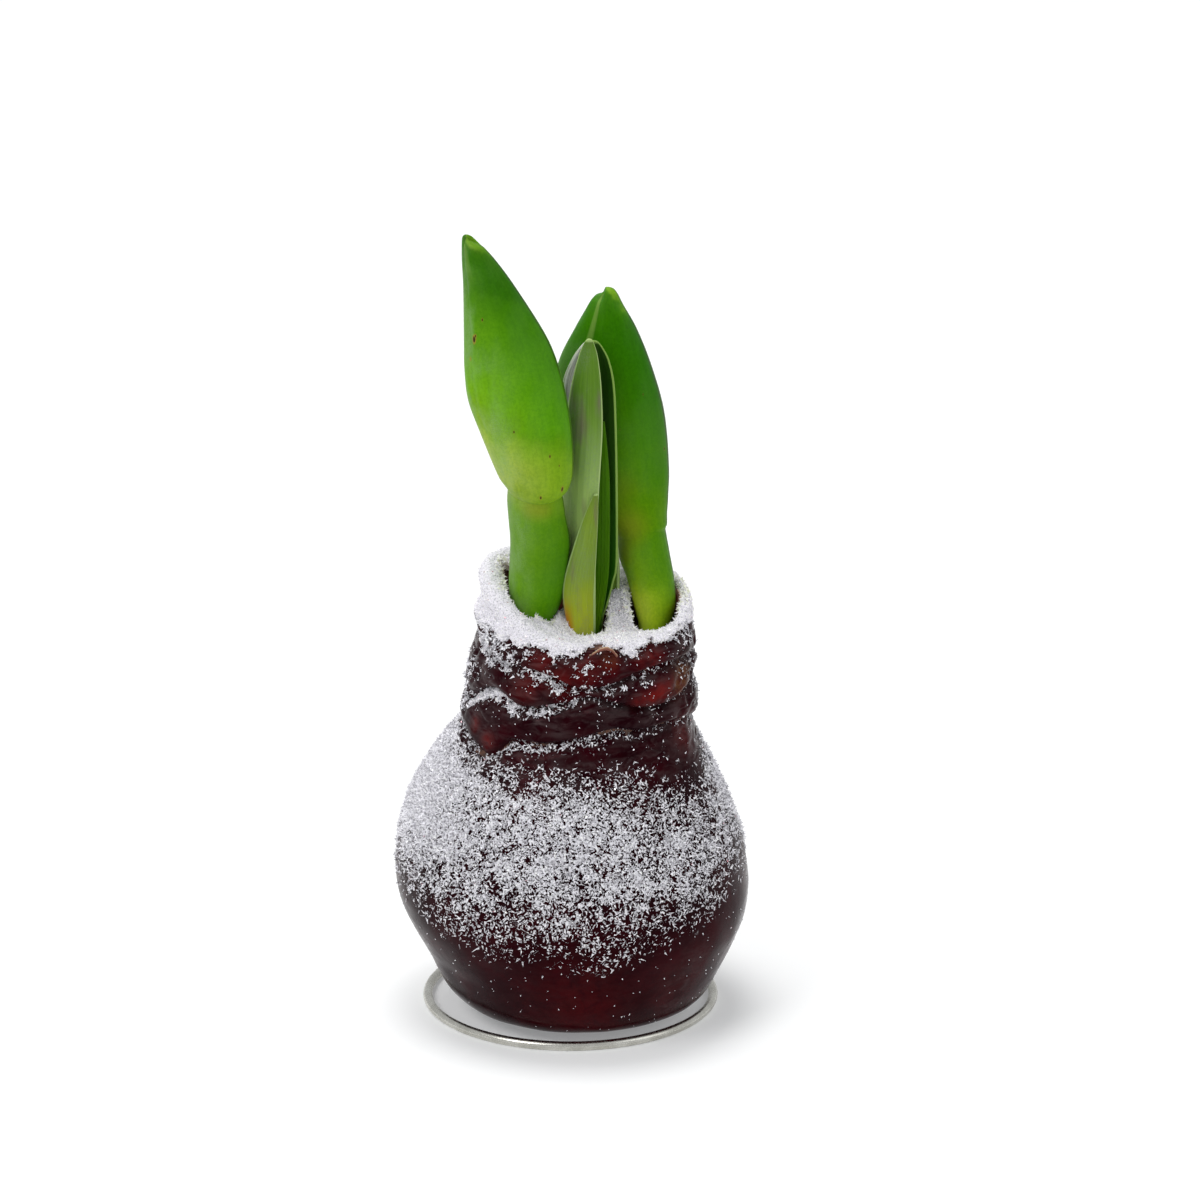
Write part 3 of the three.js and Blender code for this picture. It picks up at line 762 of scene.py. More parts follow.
def paint_scale(paint):
    """The bulb's dry skin: dark brown, with darker fibres that run upwards; its darkness is partly painted
    shade, where it shows deep in the gaps round the shoots.
    """
    fibres = paint.noise(paint.place((1, 1, 0.08)), 0.8, 3, 0.6)
    colour = paint.mix(paint.ease(fibres, 0.3, 0.7), SCALE_DARK, SCALE_BROWN)
    colour = paint.mix(paint.patches(paint.place(), (4, 3, 0.6), 0.45, 0.75), colour, SCALE_DARK)
    colour = paint.mix(paint.ease(paint.attribute("ridge"), 0.7, 0.95), colour, SCALE_RUST)
    paint.finish(colour, 0.6, relief=(fibres, 0.2, 1))


def paint_scale_edge(paint):
    """A torn scale edge: cream at its rim, red-brown below, with dark specks."""
    tone = paint.noise(paint.place(), 1.1, 3, 0.6)
    colour = paint.mix(paint.ease(tone, 0.35, 0.65), SCALE_BROWN, SCALE_RUST)
    colour = paint.mix(paint.ease(paint.attribute("rim"), 0.72, 0.97), colour, SCALE_CREAM)
    colour = paint.mix(paint.ease(tone, 0.62, 0.7), colour, SCALE_DARK)
    paint.finish(colour, 0.5, relief=(tone, 0.2, 1))


# ---------------------------------------------------------------- the wax coat

# The lower edge of the crust on the outside of the neck: angle and height.
CRUST_EDGE = [
    (-180, 102.4), (-165, 103.4), (-150, 104.2), (-138, 104.6), (-128, 105.4), (-118, 106.6),
    (-112, 107), (-106, 105.4), (-98, 106.6), (-89, 109), (-81, 110.7), (-75, 110.2), (-67, 106.8),
    (-62, 107.8), (-50, 110), (-34, 108.8), (-20, 109), (-5, 107.6), (20, 106), (50, 103.5),
    (85, 105), (120, 102.5), (150, 102.5),
]
BODY_ROW = 1.05
NECK_ROW = 0.3
FOLDS_FROM = 70
WAX_TOP = 111.5
WAX_UNDER_CRUST = 0.9
UNDER_CRUST_FROM = 105.5
UNDER_CRUST_BLEND = 4
NECK_BLEND = 12
WAX_WALL = 1.4
WIRE_HOLE = 1.7
# The rings of the underside, as shares of the way out from the hole to the edge of the base.
BASE_RINGS = (0, 0.25, 0.5, 0.75, 0.92)
BASE_DISH = 0.5
INSIDE_ROWS = 26
DEEPEST = -2.1
FLAP_SNOW = 0.7
FLAP_TURN = 12
FRINGE_SNOW = 0.38


def facing_up(points):
    """How far each place on a stack of rings faces up, from -1 to 1."""
    round_it = np.roll(points, -1, axis=1) - np.roll(points, 1, axis=1)
    out = np.cross(round_it, np.gradient(points, axis=0))
    return out[..., 2] / np.maximum(np.linalg.norm(out, axis=-1), 1e-9)


def wax_lengths():
    """Lengths along the outline, close together in the neck."""
    folds = length_at_height(FOLDS_FROM)
    neck = np.arange(folds, length_at_height(WAX_TOP), NECK_ROW)
    return np.concatenate([np.arange(0, folds, BODY_ROW), neck])


def wax_proud(length, height):
    """How far the wax's skin stands proud of the bulb's plain shape, and the snow on its ledges."""
    proud, snow = neck_folds(height)
    plain = surface_points(length, 0)
    rows = height[:, None]
    neck = smooth((rows - BELOW_FOLDS) / NECK_BLEND)
    creased = np.exp(-((lumps(plain * (1, 1, 2.4), 11, 2, 6.8) / 0.07) ** 2))
    proud = proud + neck * (0.5 * lumps(plain * (1, 1, 2.2), 9, 3, 2.2) - 0.65 - 0.4 * creased)
    proud = proud + (1 - neck) * 0.35 * lumps(plain, 16, 2, 5.5)
    proud = proud - WAX_UNDER_CRUST * smooth((rows - UNDER_CRUST_FROM) / UNDER_CRUST_BLEND)
    return np.maximum(proud, DEEPEST), snow


def base_rings():
    """The flat underside, from the wire's hole out to the edge of the base."""
    edge = surface_points(np.array([0.0]), 0)[0]
    hole = np.column_stack([WIRE_HOLE * np.cos(angles), WIRE_HOLE * np.sin(angles)])
    rings = []
    for share in BASE_RINGS:
        flat = hole * (1 - share) + edge[:, :2] * share
        dip = BASE_DISH * math.sin(math.pi * min(1, share * 1.1))
        rings.append(np.column_stack([flat, np.full(COLUMNS, BASE_HEIGHT + dip)]))
    return np.array(rings)


def snow_on_wax(outside, height, outline, ledge_snow):
    """How much of the wax the snow covers: on the belly, the ledges, the flap and the fringe."""
    rows = height[:, None]
    lower = round_run(LOWER_GROOVE, angle_degrees)[0]
    upper = round_run(UPPER_GROOVE, angle_degrees)[0]
    edge = round_run(CRUST_EDGE, angle_degrees, 2)[0]
    flap_side = smooth((-np.cos(np.radians(angle_degrees + FLAP_TURN)) - 0.45) / 0.3)
    flap = FLAP_SNOW * flap_side * smooth((rows - upper - 0.5) / 1.5)
    fringe = FRINGE_SNOW * smooth((rows - crest_dip(rows, angle_degrees) - edge + 3.2) / 3.2)
    loose = np.maximum.reduce([flap, fringe, spots_on(outside, outline, NECK_SNOW)])
    patchy = 0.6 + 1.9 * lumps(outside, 1.9, 3, 6.1)
    flecked = 0.4 + 2.9 * lumps(outside, 1.4, 3, 3.7)
    neck = np.maximum(ledge_snow * patchy, loose * flecked)
    belly = np.maximum(belly_snow(outside, height), ledge_snow * smooth(lower - rows))
    return np.clip(np.where(rows < lower, belly, neck), 0, 1)


def make_wax():
    length = wax_lengths()
    radius, height = outline_at(length)[:2]
    proud, ledge_snow = wax_proud(length, height)
    outside = surface_points(length, proud)
    rows = height[:, None]
    outline = np.column_stack([radius, height])
    snow = snow_on_wax(outside, height, outline, ledge_snow)
    stray = 0.008 + 0.07 * np.maximum(lumps(outside, 3, 3, 3.3), 0)
    stray = stray + 0.13 * smooth((rows - 80) / 8) * smooth(0.3 + 2.4 * lumps(outside, 7, 2, 9.4))
    on_neck = smooth((rows - 62) / 14)
    # Dust and painted sheen: dust on the neck's upward faces, and the listed spots of painted sheen for the
    # wax's soft reflections.
    facing = 0.5 * smooth((facing_up(outside) - 0.1) / 0.5) * on_neck
    bloom = 0.05 + 0.07 * on_neck + 0.88 * np.maximum(spots_on(outside, outline, SHEEN_SPOTS), facing)

    inside_length = np.linspace(length[-1], 2, INSIDE_ROWS)
    inside = surface_points(inside_length, -WAX_WALL - WAX_UNDER_CRUST)
    under = base_rings()
    top = under[::-1] * (1, 1, 0) + (0, 0, BASE_HEIGHT + WAX_WALL)
    rings = np.concatenate([under, outside, inside, top])
    grids = {
        "snow": snow,
        "glow": spots_on(outside, outline, GLOWS),
        "tan": spots_on(outside, outline, TAN_SPOTS),
        "grains": grains_for(snow),
        "stray": stray + 0.4 * np.clip(snow, 0, 0.5),
        "dust_and_sheen": bloom,
    }
    attributes = {}
    for name, grid in grids.items():
        full = np.zeros((len(rings), COLUMNS))
        full[len(under) : len(under) + len(outside)] = grid
        attributes[name] = full.ravel()
    faces = ring_faces(len(rings), COLUMNS, closed_rows=True)
    wax = make_material("dark_red_wax", paint_wax)
    return make_piece("wax_skin", rings.reshape(-1, 3), faces, attributes, wax, "wax", "wax_coat")


# ---------------------------------------------------------------- the snow crust

CRUST_ROW = 0.36
CRUST_THICKNESS = 1.15
CRUST_FROM = 71
CRUST_SUNK = 0.22
CRUST_INSET = 0.45
# The holes that the shoots leave in the crust: middle x and y, half width and half depth, and how
# far the floor of the mouth is sunk beside each.
SHOOT_HOLES = [
    (-10.0, -3.7, 6.5, 7.0, 3.2),
    (22.0, 2.5, 7.1, 7.3, 6.6),
    (4.5, -2.9, 5.1, 7.4, 3.6),
    (-13.4, 4.2, 4.0, 4.6, 2.0),
]
# Snow heaped between the shoots: x, y, half width, half depth and rise.
HEAPS = [(13.0, 5.0, 4.6, 7.0, 4.2), (-2.0, -6.5, 2.4, 4.5, 2.0)]
# Where the crust is painted grey as painted shade, deep in the mouth between the shoots: x, y, half width
# and half depth.
PAINTED_SHADE_PLACE = (14, 3, 4, 11)
HOLE_ROUNDNESS = 2.4
CREST_RADIUS = 26
SIDE_SINK = 0.35
# How far the crust's outer corner stands out: angle and reach.
CORNER = [
    (-180, 3.9), (-165, 3.7), (-148, 2.4), (-120, 0.8), (-90, 0.5), (-40, 0.5), (0, 0.8),
    (60, 0.9), (120, 1.0), (150, 2.4),
]
CORNER_RADIUS = 26
CORNER_WIDTH = 1.7
CORNER_HEIGHT = 112
CORNER_FALL = 3.4
CORNER_TOP_FROM = 109.5
CORNER_INSIDE = 15
HOLES_ABOVE = 100


def beyond_hole(points, hole):
    """About how many millimetres each point lies beyond a hole's edge: below 0 is inside."""
    x, y, half_width, half_depth = hole[:4]
    across = np.abs((points[..., 0] - x) / half_width) ** HOLE_ROUNDNESS
    down = np.abs((points[..., 1] - y) / half_depth) ** HOLE_ROUNDNESS
    return ((across + down) ** (1 / HOLE_ROUNDNESS) - 1) * min(half_width, half_depth)


def beyond_holes(points):
    return np.minimum.reduce([beyond_hole(points, hole) for hole in SHOOT_HOLES])


def heap_shape(points, x, y, half_width, half_depth):
    """A round heap of height 1 over each point."""
    off = ((points[..., 0] - x) / half_width) ** 2 + ((points[..., 1] - y) / half_depth) ** 2
    return np.exp(-off)


def sink_mouth(points, in_mouth):
    """Lowers the mouth's floor towards the shoots."""
    sunk = np.zeros(points.shape[:-1])
    radius = np.hypot(points[..., 0] - NECK_CENTRE_X, points[..., 1])
    room = np.maximum(CREST_RADIUS - radius, 0.3)
    for hole in SHOOT_HOLES:
        away = np.maximum(beyond_hole(points, hole), 0)
        sunk = np.maximum(sunk, hole[4] * (room / (room + away)) ** 1.3 * np.exp(-away / 14))
    sunk = sunk * (SIDE_SINK + (1 - SIDE_SINK) * smooth((2 - points[..., 1]) / 9))
    lowered = points.copy()
    lowered[..., 2] -= sunk * smooth((CREST_RADIUS - radius) / 4) * in_mouth
    for *place, rise in HEAPS:
        lowered[..., 2] += rise * heap_shape(points, *place) * in_mouth
    return lowered


def shell_of_cells(outer, inner, cells):
    """A closed shell over the kept cells of a grid: both skins, and walls where cells end."""
    rows, count = outer.shape[:2]
    size = rows * count
    faces = []
    for row, column in zip(*np.nonzero(cells)):
        after = (column + 1) % count
        a, b = row * count + column, row * count + after
        c, d = b + count, a + count
        faces.append((a, b, c, d))
        faces.append((a + size, d + size, c + size, b + size))
        walls = [
            (a, b, row > 0 and cells[row - 1, column]),
            (c, d, row < len(cells) - 1 and cells[row + 1, column]),
            (d, a, cells[row, column - 1]),
            (b, c, cells[row, after]),
        ]
        for start, end, goes_on in walls:
            if not goes_on:
                faces.append((start, start + size, end + size, end))
    used, index = np.unique(np.array(faces).ravel(), return_inverse=True)
    points = np.concatenate([outer.reshape(-1, 3), inner.reshape(-1, 3)])
    return points[used], index.reshape(-1, 4).tolist(), used


def make_crust():
    start = length_at_height(CRUST_FROM)
    length = np.arange(start, OUTLINE_LENGTH - 0.4, CRUST_ROW)
    radius, height = outline_at(length)[:2]
    outside = (length < length_at_height(CREST_HEIGHT))[:, None]
    wax, ledges = wax_proud(length, height)
    wax = np.where(outside, wax, -WAX_UNDER_CRUST - 0.6)
    rough = surface_points(length, wax)

    rows = height[:, None]
    edge = round_run(CRUST_EDGE, angle_degrees, 2)[0]
    ragged = 1.9 * lumps(rough, 2.6, 3, 9.1) + 1.5 * lumps(rough, 0.9, 2, 2.9)
    level = rows - crest_dip(rows, angle_degrees)
    cover = np.where(outside, smooth((level - edge + ragged + 0.6) / 1.6), 1)
    heaps = ledges - 0.8 + 0.32 * lumps(rough, 1.8, 3, 7.7)
    cover = np.maximum(cover, 0.9 * smooth(heaps / 0.3))

    bumps = 0.3 * lumps(rough, 5, 3, 3.9) + 0.2 * lumps(rough, 1.1, 3, 6.6)
    on_top = np.exp(-(((radius - CORNER_RADIUS) / CORNER_WIDTH) ** 2)) * (height > CORNER_TOP_FROM)
    on_side = np.exp(-(((height - CORNER_HEIGHT) / CORNER_FALL) ** 2))
    at_corner = np.where(height < CORNER_HEIGHT, on_side, on_top) * (radius > CORNER_INSIDE)
    bumps = bumps + round_run(CORNER, angle_degrees, 10)[0] * at_corner[:, None]
    depth = (CRUST_THICKNESS + bumps) * cover - CRUST_SUNK
    outer = sink_mouth(surface_points(length, wax + depth), ~outside)
    inner = sink_mouth(surface_points(length, wax - CRUST_INSET), ~outside)

    beyond = beyond_holes(outer) - 0.75 * lumps(outer, 1.3, 3, 5.2)
    top = rows > HOLES_ABOVE
    kept = (depth > -0.05) & ~((beyond < 0) & top)
    cells = kept[:-1] & kept[1:]
    points, faces, used = shell_of_cells(outer, inner, cells & np.roll(cells, -1, axis=1))

    thin = np.clip(1 - smooth((depth - 0.1) / 0.7), 0, 1)
    # Painted shade: the crust is also painted grey in the low place between the leaf and the right shoot,
    # deep in the mouth.
    thin = np.clip(thin + 0.42 * heap_shape(rough, *PAINTED_SHADE_PLACE) * ~outside, 0, 1)
    rim = np.exp(-((beyond / 0.9) ** 2)) * top
    fringe = np.exp(-(((level - edge) / 1.5) ** 2))
    loose = np.clip(0.3 + 0.5 * fringe + 0.4 * ledges, 0, 1)
    skins = {"thin": (thin, thin), "loose": (loose, 0 * loose), "rim": (rim, 0.6 * rim)}
    attributes = {name: np.ravel(skin)[used] for name, skin in skins.items()}
    snow = make_material("packed_snow", paint_snow)
    return make_piece("snow_crust_skin", points, faces, attributes, snow, "snow", "snow_crust")


# ---------------------------------------------------------------- the bulb inside the wax

BULB_WALL = 1.85
BULB_SIDE_ROWS = 40
BULB_TOP_ROW = 0.45
POCKET_FLOOR = 95
SCALE_SPACING = 3.4
SCALE_RISE = 1.1


def make_bulb():
    """The bulb itself: plain under the wax, ringed with scale edges inside the mouth."""
    crest = length_at_height(CREST_HEIGHT)
    top = np.arange(crest + BULB_TOP_ROW, OUTLINE_LENGTH - 0.3, BULB_TOP_ROW)
    length = np.concatenate([np.linspace(0, crest, BULB_SIDE_ROWS), top])
    radius = outline_at(length)[0][:, None]
    on_top = (length > crest)[:, None]
    rings = sink_mouth(surface_points(length, -BULB_WALL), on_top)
    ridge = ((radius + 1.6 * lumps(rings, 12, 2, 4.4)) / SCALE_SPACING) % 1
    rings[..., 2] += np.where(on_top, SCALE_RISE * (smooth((ridge - 0.55) / 0.35) - 0.9), 0)
    pocket = smooth((0.4 - beyond_holes(rings)) / 0.8) * on_top
    rings[..., 2] -= (rings[..., 2] - POCKET_FLOOR) * pocket
    attributes = {"ridge": with_ends(np.where(on_top, ridge, 0))}
    skin = make_material("dry_scale", paint_scale)
    return make_piece("bulb_skin", *skin_rings(rings), attributes, skin, "bulb_scale", "bulb")


# ---------------------------------------------------------------- grains and glitter


def strew(tree, name, source, where, per_mm2, size, stretch, tilt, seed, material):
    """Strews grains over a piece, as closely as its attribute says where."""
    values = {
        "Grains per Area": per_mm2 / MM**2,
        "Where": where,
        "Grain Size": size * MM,
        "Length": stretch,
        "Tilt": tilt,
        "Seed": seed,
        "Material": material,
    }
    return grow_piece(name, source, tree, values)


# ---------------------------------------------------------------- stalks and buds

# Each entry is a height, the x of the left and right edges, the y of the middle, and half the depth.
LEFT_STALK = [
    (93, -13.6, -6.4, -3, 5.2), (104, -14.8, -4.5, -3.8, 5.6), (108, -15.1, -2.9, -4.2, 5.9),
    (112, -15.3, -1.5, -4.6, 6.2), (116, -15.4, -0.6, -5, 6.3), (120, -15.2, -0.3, -5.4, 6.3),
    (127, -15, 0.1, -6.2, 6.2), (133, -15.4, -0.9, -7.1, 6), (138.2, -15.7, -1.6, -7.9, 5.8),
    (142.5, -15.4, -2.6, -8.3, 5.2),
]
LEFT_BUD = [
    (138.6, -13.4, -4.4, -8.3, 4.6), (138.9, -14.7, -2.9, -8.3, 5.5), (139.8, -15.6, -1.4, -8.4, 6.3),
    (141.6, -16.4, -0.1, -8.5, 6.8), (146.1, -18.5, 0.9, -8.5, 7.3), (156.1, -22.4, 0.6, -8.5, 7.8),
    (164.4, -25.3, -0.6, -8.5, 7.7), (172.3, -26.2, -2.4, -8.4, 7.2), (181.1, -26.3, -5.8, -8.2, 6.2),
    (193.6, -26.4, -13.4, -7.9, 4.2), (200.5, -26.7, -18.3, -7.7, 2.9), (204.6, -26.7, -21.9, -7.6, 2),
    (206.3, -26.6, -23.5, -7.6, 1.3), (207, -26.2, -24.8, -7.6, 0.6),
]
RIGHT_STALK = [
    (93, 17.4, 24, 1, 4.4), (101, 17.3, 25.3, 2.4, 5), (104, 16.7, 26.2, 3, 5.3),
    (107.4, 15.9, 26.8, 3.6, 5.5), (113, 14.4, 26.4, 4.9, 5.7), (118.5, 12.4, 25.4, 6.4, 5.9),
    (126, 11.5, 24, 8.6, 6), (131, 11, 23.2, 9.6, 5.6),
]
RIGHT_BUD = [
    (121, 12.8, 24.4, 7.2, 5.4), (124.2, 11.3, 24.1, 8.1, 5.9), (126.2, 9.4, 24.4, 8.8, 6.3),
    (129.2, 5.2, 24.4, 9.5, 6.7), (133.2, 1.0, 24.8, 10.2, 7), (139.4, -2.5, 25.1, 10.7, 7.5),
    (150, -4.7, 24.5, 10.8, 7.9), (158.5, -4.9, 23.2, 10.8, 7.7), (169, -2.7, 20.1, 10.7, 6.7),
    (177.4, 1.3, 16.8, 10.6, 5.2), (183.5, 4.6, 13.5, 10.5, 3.4), (186.2, 5.7, 12.2, 10.5, 2.5),
    (187.6, 6.6, 11.2, 10.5, 1.7), (188.1, 7.9, 10.2, 10.5, 0.8),
]
STALK_STEPS = 70
BUD_STEPS = 180
STEM_COLUMNS = 120

# The greens of each stem from its foot up: share of the height, then red, green and blue levels.
LEFT_STALK_GREENS = [
    (0.0, 98, 140, 20), (0.32, 100, 150, 20), (0.55, 90, 138, 12), (0.78, 98, 142, 18),
    (0.88, 122, 154, 44), (1.0, 134, 160, 56),
]
LEFT_BUD_GREENS = [
    (0.0, 126, 152, 26), (0.09, 152, 172, 62), (0.2, 141, 170, 56), (0.29, 112, 158, 20),
    (0.4, 104, 160, 20), (0.8, 67, 122, 20), (0.95, 66, 115, 26), (1.0, 120, 152, 64),
]
RIGHT_STALK_GREENS = [
    (0.0, 126, 164, 8), (0.3, 166, 184, 42), (0.5, 128, 160, 18), (0.66, 100, 142, 10),
    (1.0, 98, 142, 12),
]
RIGHT_BUD_GREENS = [
    (0.0, 98, 142, 12), (0.14, 106, 144, 16), (0.35, 84, 134, 10), (0.6, 60, 120, 2),
    (0.93, 54, 116, 2), (0.975, 84, 134, 30), (1.0, 140, 170, 70),
]
# Small brown spots on the buds: x, height, reach, and how strong the ring round it is.
LEFT_BUD_SPOTS = [
    (-23.7, 181.4, 0.44, 0.9), (-23.3, 182.3, 0.2, 0.9), (-24.8, 176.1, 0.3, 0.8),
    (-21.6, 186.6, 0.2, 0.4), (-13.8, 158.5, 0.2, 0.3), (-4.9, 151.8, 0.22, 0.4),
    (-2.6, 149, 0.16, 0.3), (-7.2, 141, 0.28, 0.4), (-1.9, 142.6, 0.36, 0.7),
]
RIGHT_BUD_SPOTS = [(23.8, 146.4, 0.2, 0.3), (18.4, 161.5, 0.14, 0.2), (12.6, 153, 0.12, 0.2)]
SPOT_RING = (0.30, 0.20, 0.03)
SPOT_CORE = (0.035, 0.018, 0.006)
# Faint olive-brown patches where a bud meets its stalk, partly the stalk's own tint and partly painted shade
# under the bud: place, reach and strength.
RIGHT_OLIVE_SHADE = [((14.3, 4, 127), 8, 0.36), ((12.5, 3.5, 137), 7, 0.14), ((12.5, 2, 120), 5, 0.3)]
LEFT_OLIVE_SHADE = [((-9.5, -14.5, 137.2), 4.5, 0.3), ((-6, -14, 137), 3.5, 0.25)]
OLIVE_SHADE_BROWN = (0.25, 0.19, 0.016)
# The pale crest of a bud: angle, half width in degrees, the share where it starts, and strength.
LEFT_CREST = (-134, 15, 0.78, 0.22)
RIGHT_CREST = (-119, 8, 0.66, 0.36)
CREST_PALE = (0.30, 0.43, 0.10)
PAINTED_SHADE_SIDE = (0.52, 0.78, 0.10)
RAMP_LEAN = 0.06
RAMP_WANDER = 0.28
VEIN_STRETCH = (9.0, 9.0, 1.6)
FINE_STRETCH = (34.0, 34.0, 4.0)
VEIN_LIGHT = (1.35, 1.22, 1.3)
FINE_DARK = (0.72, 0.80, 0.7)
BLOOM_AND_SHEEN = (0.25, 0.37, 0.18)
# A thin line of painted shade just inside each stem's right edge: its colour, turn, width in degrees and
# strength.
EDGE_SHADE_BROWN = (0.030, 0.036, 0.010)
EDGE_SHADE_TURN = -9
EDGE_SHADE_WIDTH = 5.5
EDGE_SHADE_STRENGTH = 0.6
PLANT_GLOSS = {"Specular IOR Level": 0.12, "Specular Tint": (0.9, 1.0, 0.12)}
PLANT_DEPTH = {**PLANT_GLOSS, "Subsurface Radius": (0.6, 1.0, 0.25)}
STEM_DEPTH = {**PLANT_DEPTH, "Subsurface Weight": 0.12, "Subsurface Scale": 0.0015}


def apart(turn, degrees):
    """The angle between a turn and a direction, from -180 to 180."""
    return (np.degrees(turn) - degrees + 180) % 360 - 180


def seam_groove(turn, edge, width, deep):
    return deep * np.exp(-((apart(turn, edge) / width) ** 2))


def plain_stalk(share, turn):
    """A stalk has no seam: it doesn't swell, and nothing is lifted."""
    return 1, 0


def left_bud_seam(share, turn):
    """Two bracts meet in a seam up the left and the right edge, and part at the tip."""
    tip = smooth((share - 0.95) / 0.05)
    gape = 0.3 * smooth((share - 0.955) / 0.045)
    groove = 0
    for edge, width, deep in ((-150, 8, 0.045), (24, 7, 0.03)):
        groove = groove + seam_groove(turn, edge, width + 12 * tip, deep + gape)
    front = smooth((np.cos(turn - math.radians(-60)) + 0.2) / 0.4)
    foot = 1 - smooth(share / 0.09)
    sag = 1.2 - 1.5 * np.cos(turn - math.radians(-62))
    return 1 - groove * smooth((share - 0.12) / 0.3), -1.3 * front * tip + foot * sag


def right_bud_seam(share, turn):
    """The same on the right bud, with a notch where it leaves its stalk."""
    tip = smooth((share - 0.93) / 0.07)
    gape = 0.3 * smooth((share - 0.955) / 0.045)
    groove = 0
    for edge, width, deep in ((-110, 6, 0.05), (72, 6, 0.04)):
        deep = deep * smooth((share - 0.5) / 0.3) + gape
        groove = groove + seam_groove(turn, edge, width + 16 * tip, deep)
    left = smooth((-np.cos(turn) + 0.05) / 0.4)
    notch = seam_groove(turn, -15, 40, 0.03) * smooth((share - 0.07) / 0.008)
    step = notch * (1 - smooth((share - 0.1) / 0.12))
    return 1 - groove + step, -1.5 * left * tip


def front_spots(rows, spots):
    """Spots given as x, height, reach and ring, placed on the front of a stalk or bud."""
    table = np.asarray(rows, float)
    placed = []
    for x, height, reach, ring in spots:
        left, right, middle, depth = (np.interp(height, table[:, 0], table[:, i]) for i in (1, 2, 3, 4))
        share = np.clip((2 * x - left - right) / (right - left), -1, 1)
        placed.append(((x, middle - depth * math.sqrt(1 - share**2), height), reach, ring))
    return placed


def paint_stem(paint, greens, speckle, spots, olive_shade, crest):
    """Fleshy green skin: how much bloom and painted sheen its left side has, its spots, its olive patches of
    painted shade where bud meets stalk, and its crest.
    """
    place = paint.place()
    fibre, across, depth, share = paint.fibre()
    wander = paint.times(paint.math("SUBTRACT", paint.noise(place, 9, 3), 0.5), RAMP_WANDER)
    wander = paint.math("ADD", wander, paint.times(across, RAMP_LEAN))
    ramp = paint.node("ShaderNodeValToRGB", {"Fac": paint.math("ADD", share, wander)})
    ramp.color_ramp.interpolation = "CARDINAL"
    stops = ramp.color_ramp.elements
    while len(stops) < len(greens):
        stops.new(0.5)
    for stop, (where, *levels) in zip(stops, greens):
        stop.position = where
        stop.color = (*from_srgb(levels), 1)
    colour = ramp.outputs["Color"]
    # Painted shade: each stem is darkened towards its right side, the side turned away from the light.
    side = paint.times(paint.ease(across, -1.0, 0.9), 0.95)
    colour = paint.mix(side, colour, paint.mix(1.0, colour, PAINTED_SHADE_SIDE, "MULTIPLY"))

    veins = paint.noise(paint.vector("MULTIPLY", fibre, VEIN_STRETCH), 1.0, 4, 0.65)
    colour = paint.mix(paint.ease(veins, 0.32, 0.66, 0.0, 0.34), colour, VEIN_LIGHT, "MULTIPLY")
    fine = paint.vector("MULTIPLY", fibre, FINE_STRETCH)
    lines = paint.patches(fine, (1.0, 3, 0.7), 0.3, 0.7, 0.0, 0.3)
    mottle = paint.patches(paint.place((1, 1, 0.6)), (1.6, 4, 0.7), 0.35, 0.7, 0.0, 0.3)
    stipple = paint.patches(place, (0.7, 2, 0.7), 0.38, 0.62, -0.22, 0.4)
    shade = paint.math("ADD", paint.math("ADD", lines, mottle), stipple, True)
    colour = paint.mix(shade, colour, FINE_DARK, "MULTIPLY")

    # Grey-green bloom in patches: real bloom on the skin, painted strongest on the left side as painted
    # sheen where the light falls.
    bloom = paint.noise(place, 0.28, 2, 0.6)
    patch = paint.patches(paint.place((1, 1, 0.5)), (9, 3, 0.6), 0.36, 0.66)
    amount = paint.times(paint.ease(bloom, 0.3, 0.75, 0.4, 1.0), patch)
    amount = paint.times(amount, paint.ease(across, -1.0, 0.1, speckle, 0.06))
    colour = paint.mix(amount, colour, BLOOM_AND_SHEEN)
    if crest:
        degrees, width, start, strength = crest
        way = (math.cos(math.radians(degrees)), math.sin(math.radians(degrees)), 0)
        towards = paint.vector("DOT_PRODUCT", fibre, way, "Value")
        line = paint.ease(towards, math.cos(math.radians(width)), 1.0)
        line = paint.times(line, paint.ease(share, start, start + 0.2, 0.0, strength))
        colour = paint.mix(line, colour, CREST_PALE)
    # Olive-brown patches: painted shade where a bud meets and overhangs its stalk, over the stalk's own
    # olive tint.
    for spot, reach, strength in olive_shade:
        away = paint.vector("DISTANCE", place, spot, "Value")
        colour = paint.mix(paint.ease(away, reach, reach * 0.1, 0.0, strength), colour, OLIVE_SHADE_BROWN)
    # Painted shade: a thin dark brown line just inside the right edge, where the surface turns away.
    off = paint.math("SUBTRACT", depth, math.sin(math.radians(EDGE_SHADE_TURN)))
    edge = math.radians(EDGE_SHADE_WIDTH)
    line = paint.ease(paint.math("ABSOLUTE", off), edge, math.radians(EDGE_SHADE_WIDTH * 0.5))
    line = paint.times(line, paint.ease(across, 0.5, 0.8, 0.0, EDGE_SHADE_STRENGTH))
    colour = paint.mix(line, colour, EDGE_SHADE_BROWN)
    for spot, reach, ring in spots:
        longer = paint.vector("MULTIPLY", paint.vector("SUBTRACT", place, spot), (1, 1, 0.5))
        away = paint.vector("LENGTH", longer, output="Value")
        colour = paint.mix(paint.ease(away, reach * 1.8, reach, 0.0, ring), colour, SPOT_RING)
        colour = paint.mix(paint.ease(away, reach * 1.1, reach * 0.7), colour, SPOT_CORE)
    relief = paint.math("ADD", paint.times(veins, 0.7), paint.times(bloom, 0.2))
    roughness = paint.ease(bloom, 0.3, 0.7, 0.38, 0.55)
    paint.finish(colour, roughness, STEM_DEPTH, (relief, 0.2, 0.5))


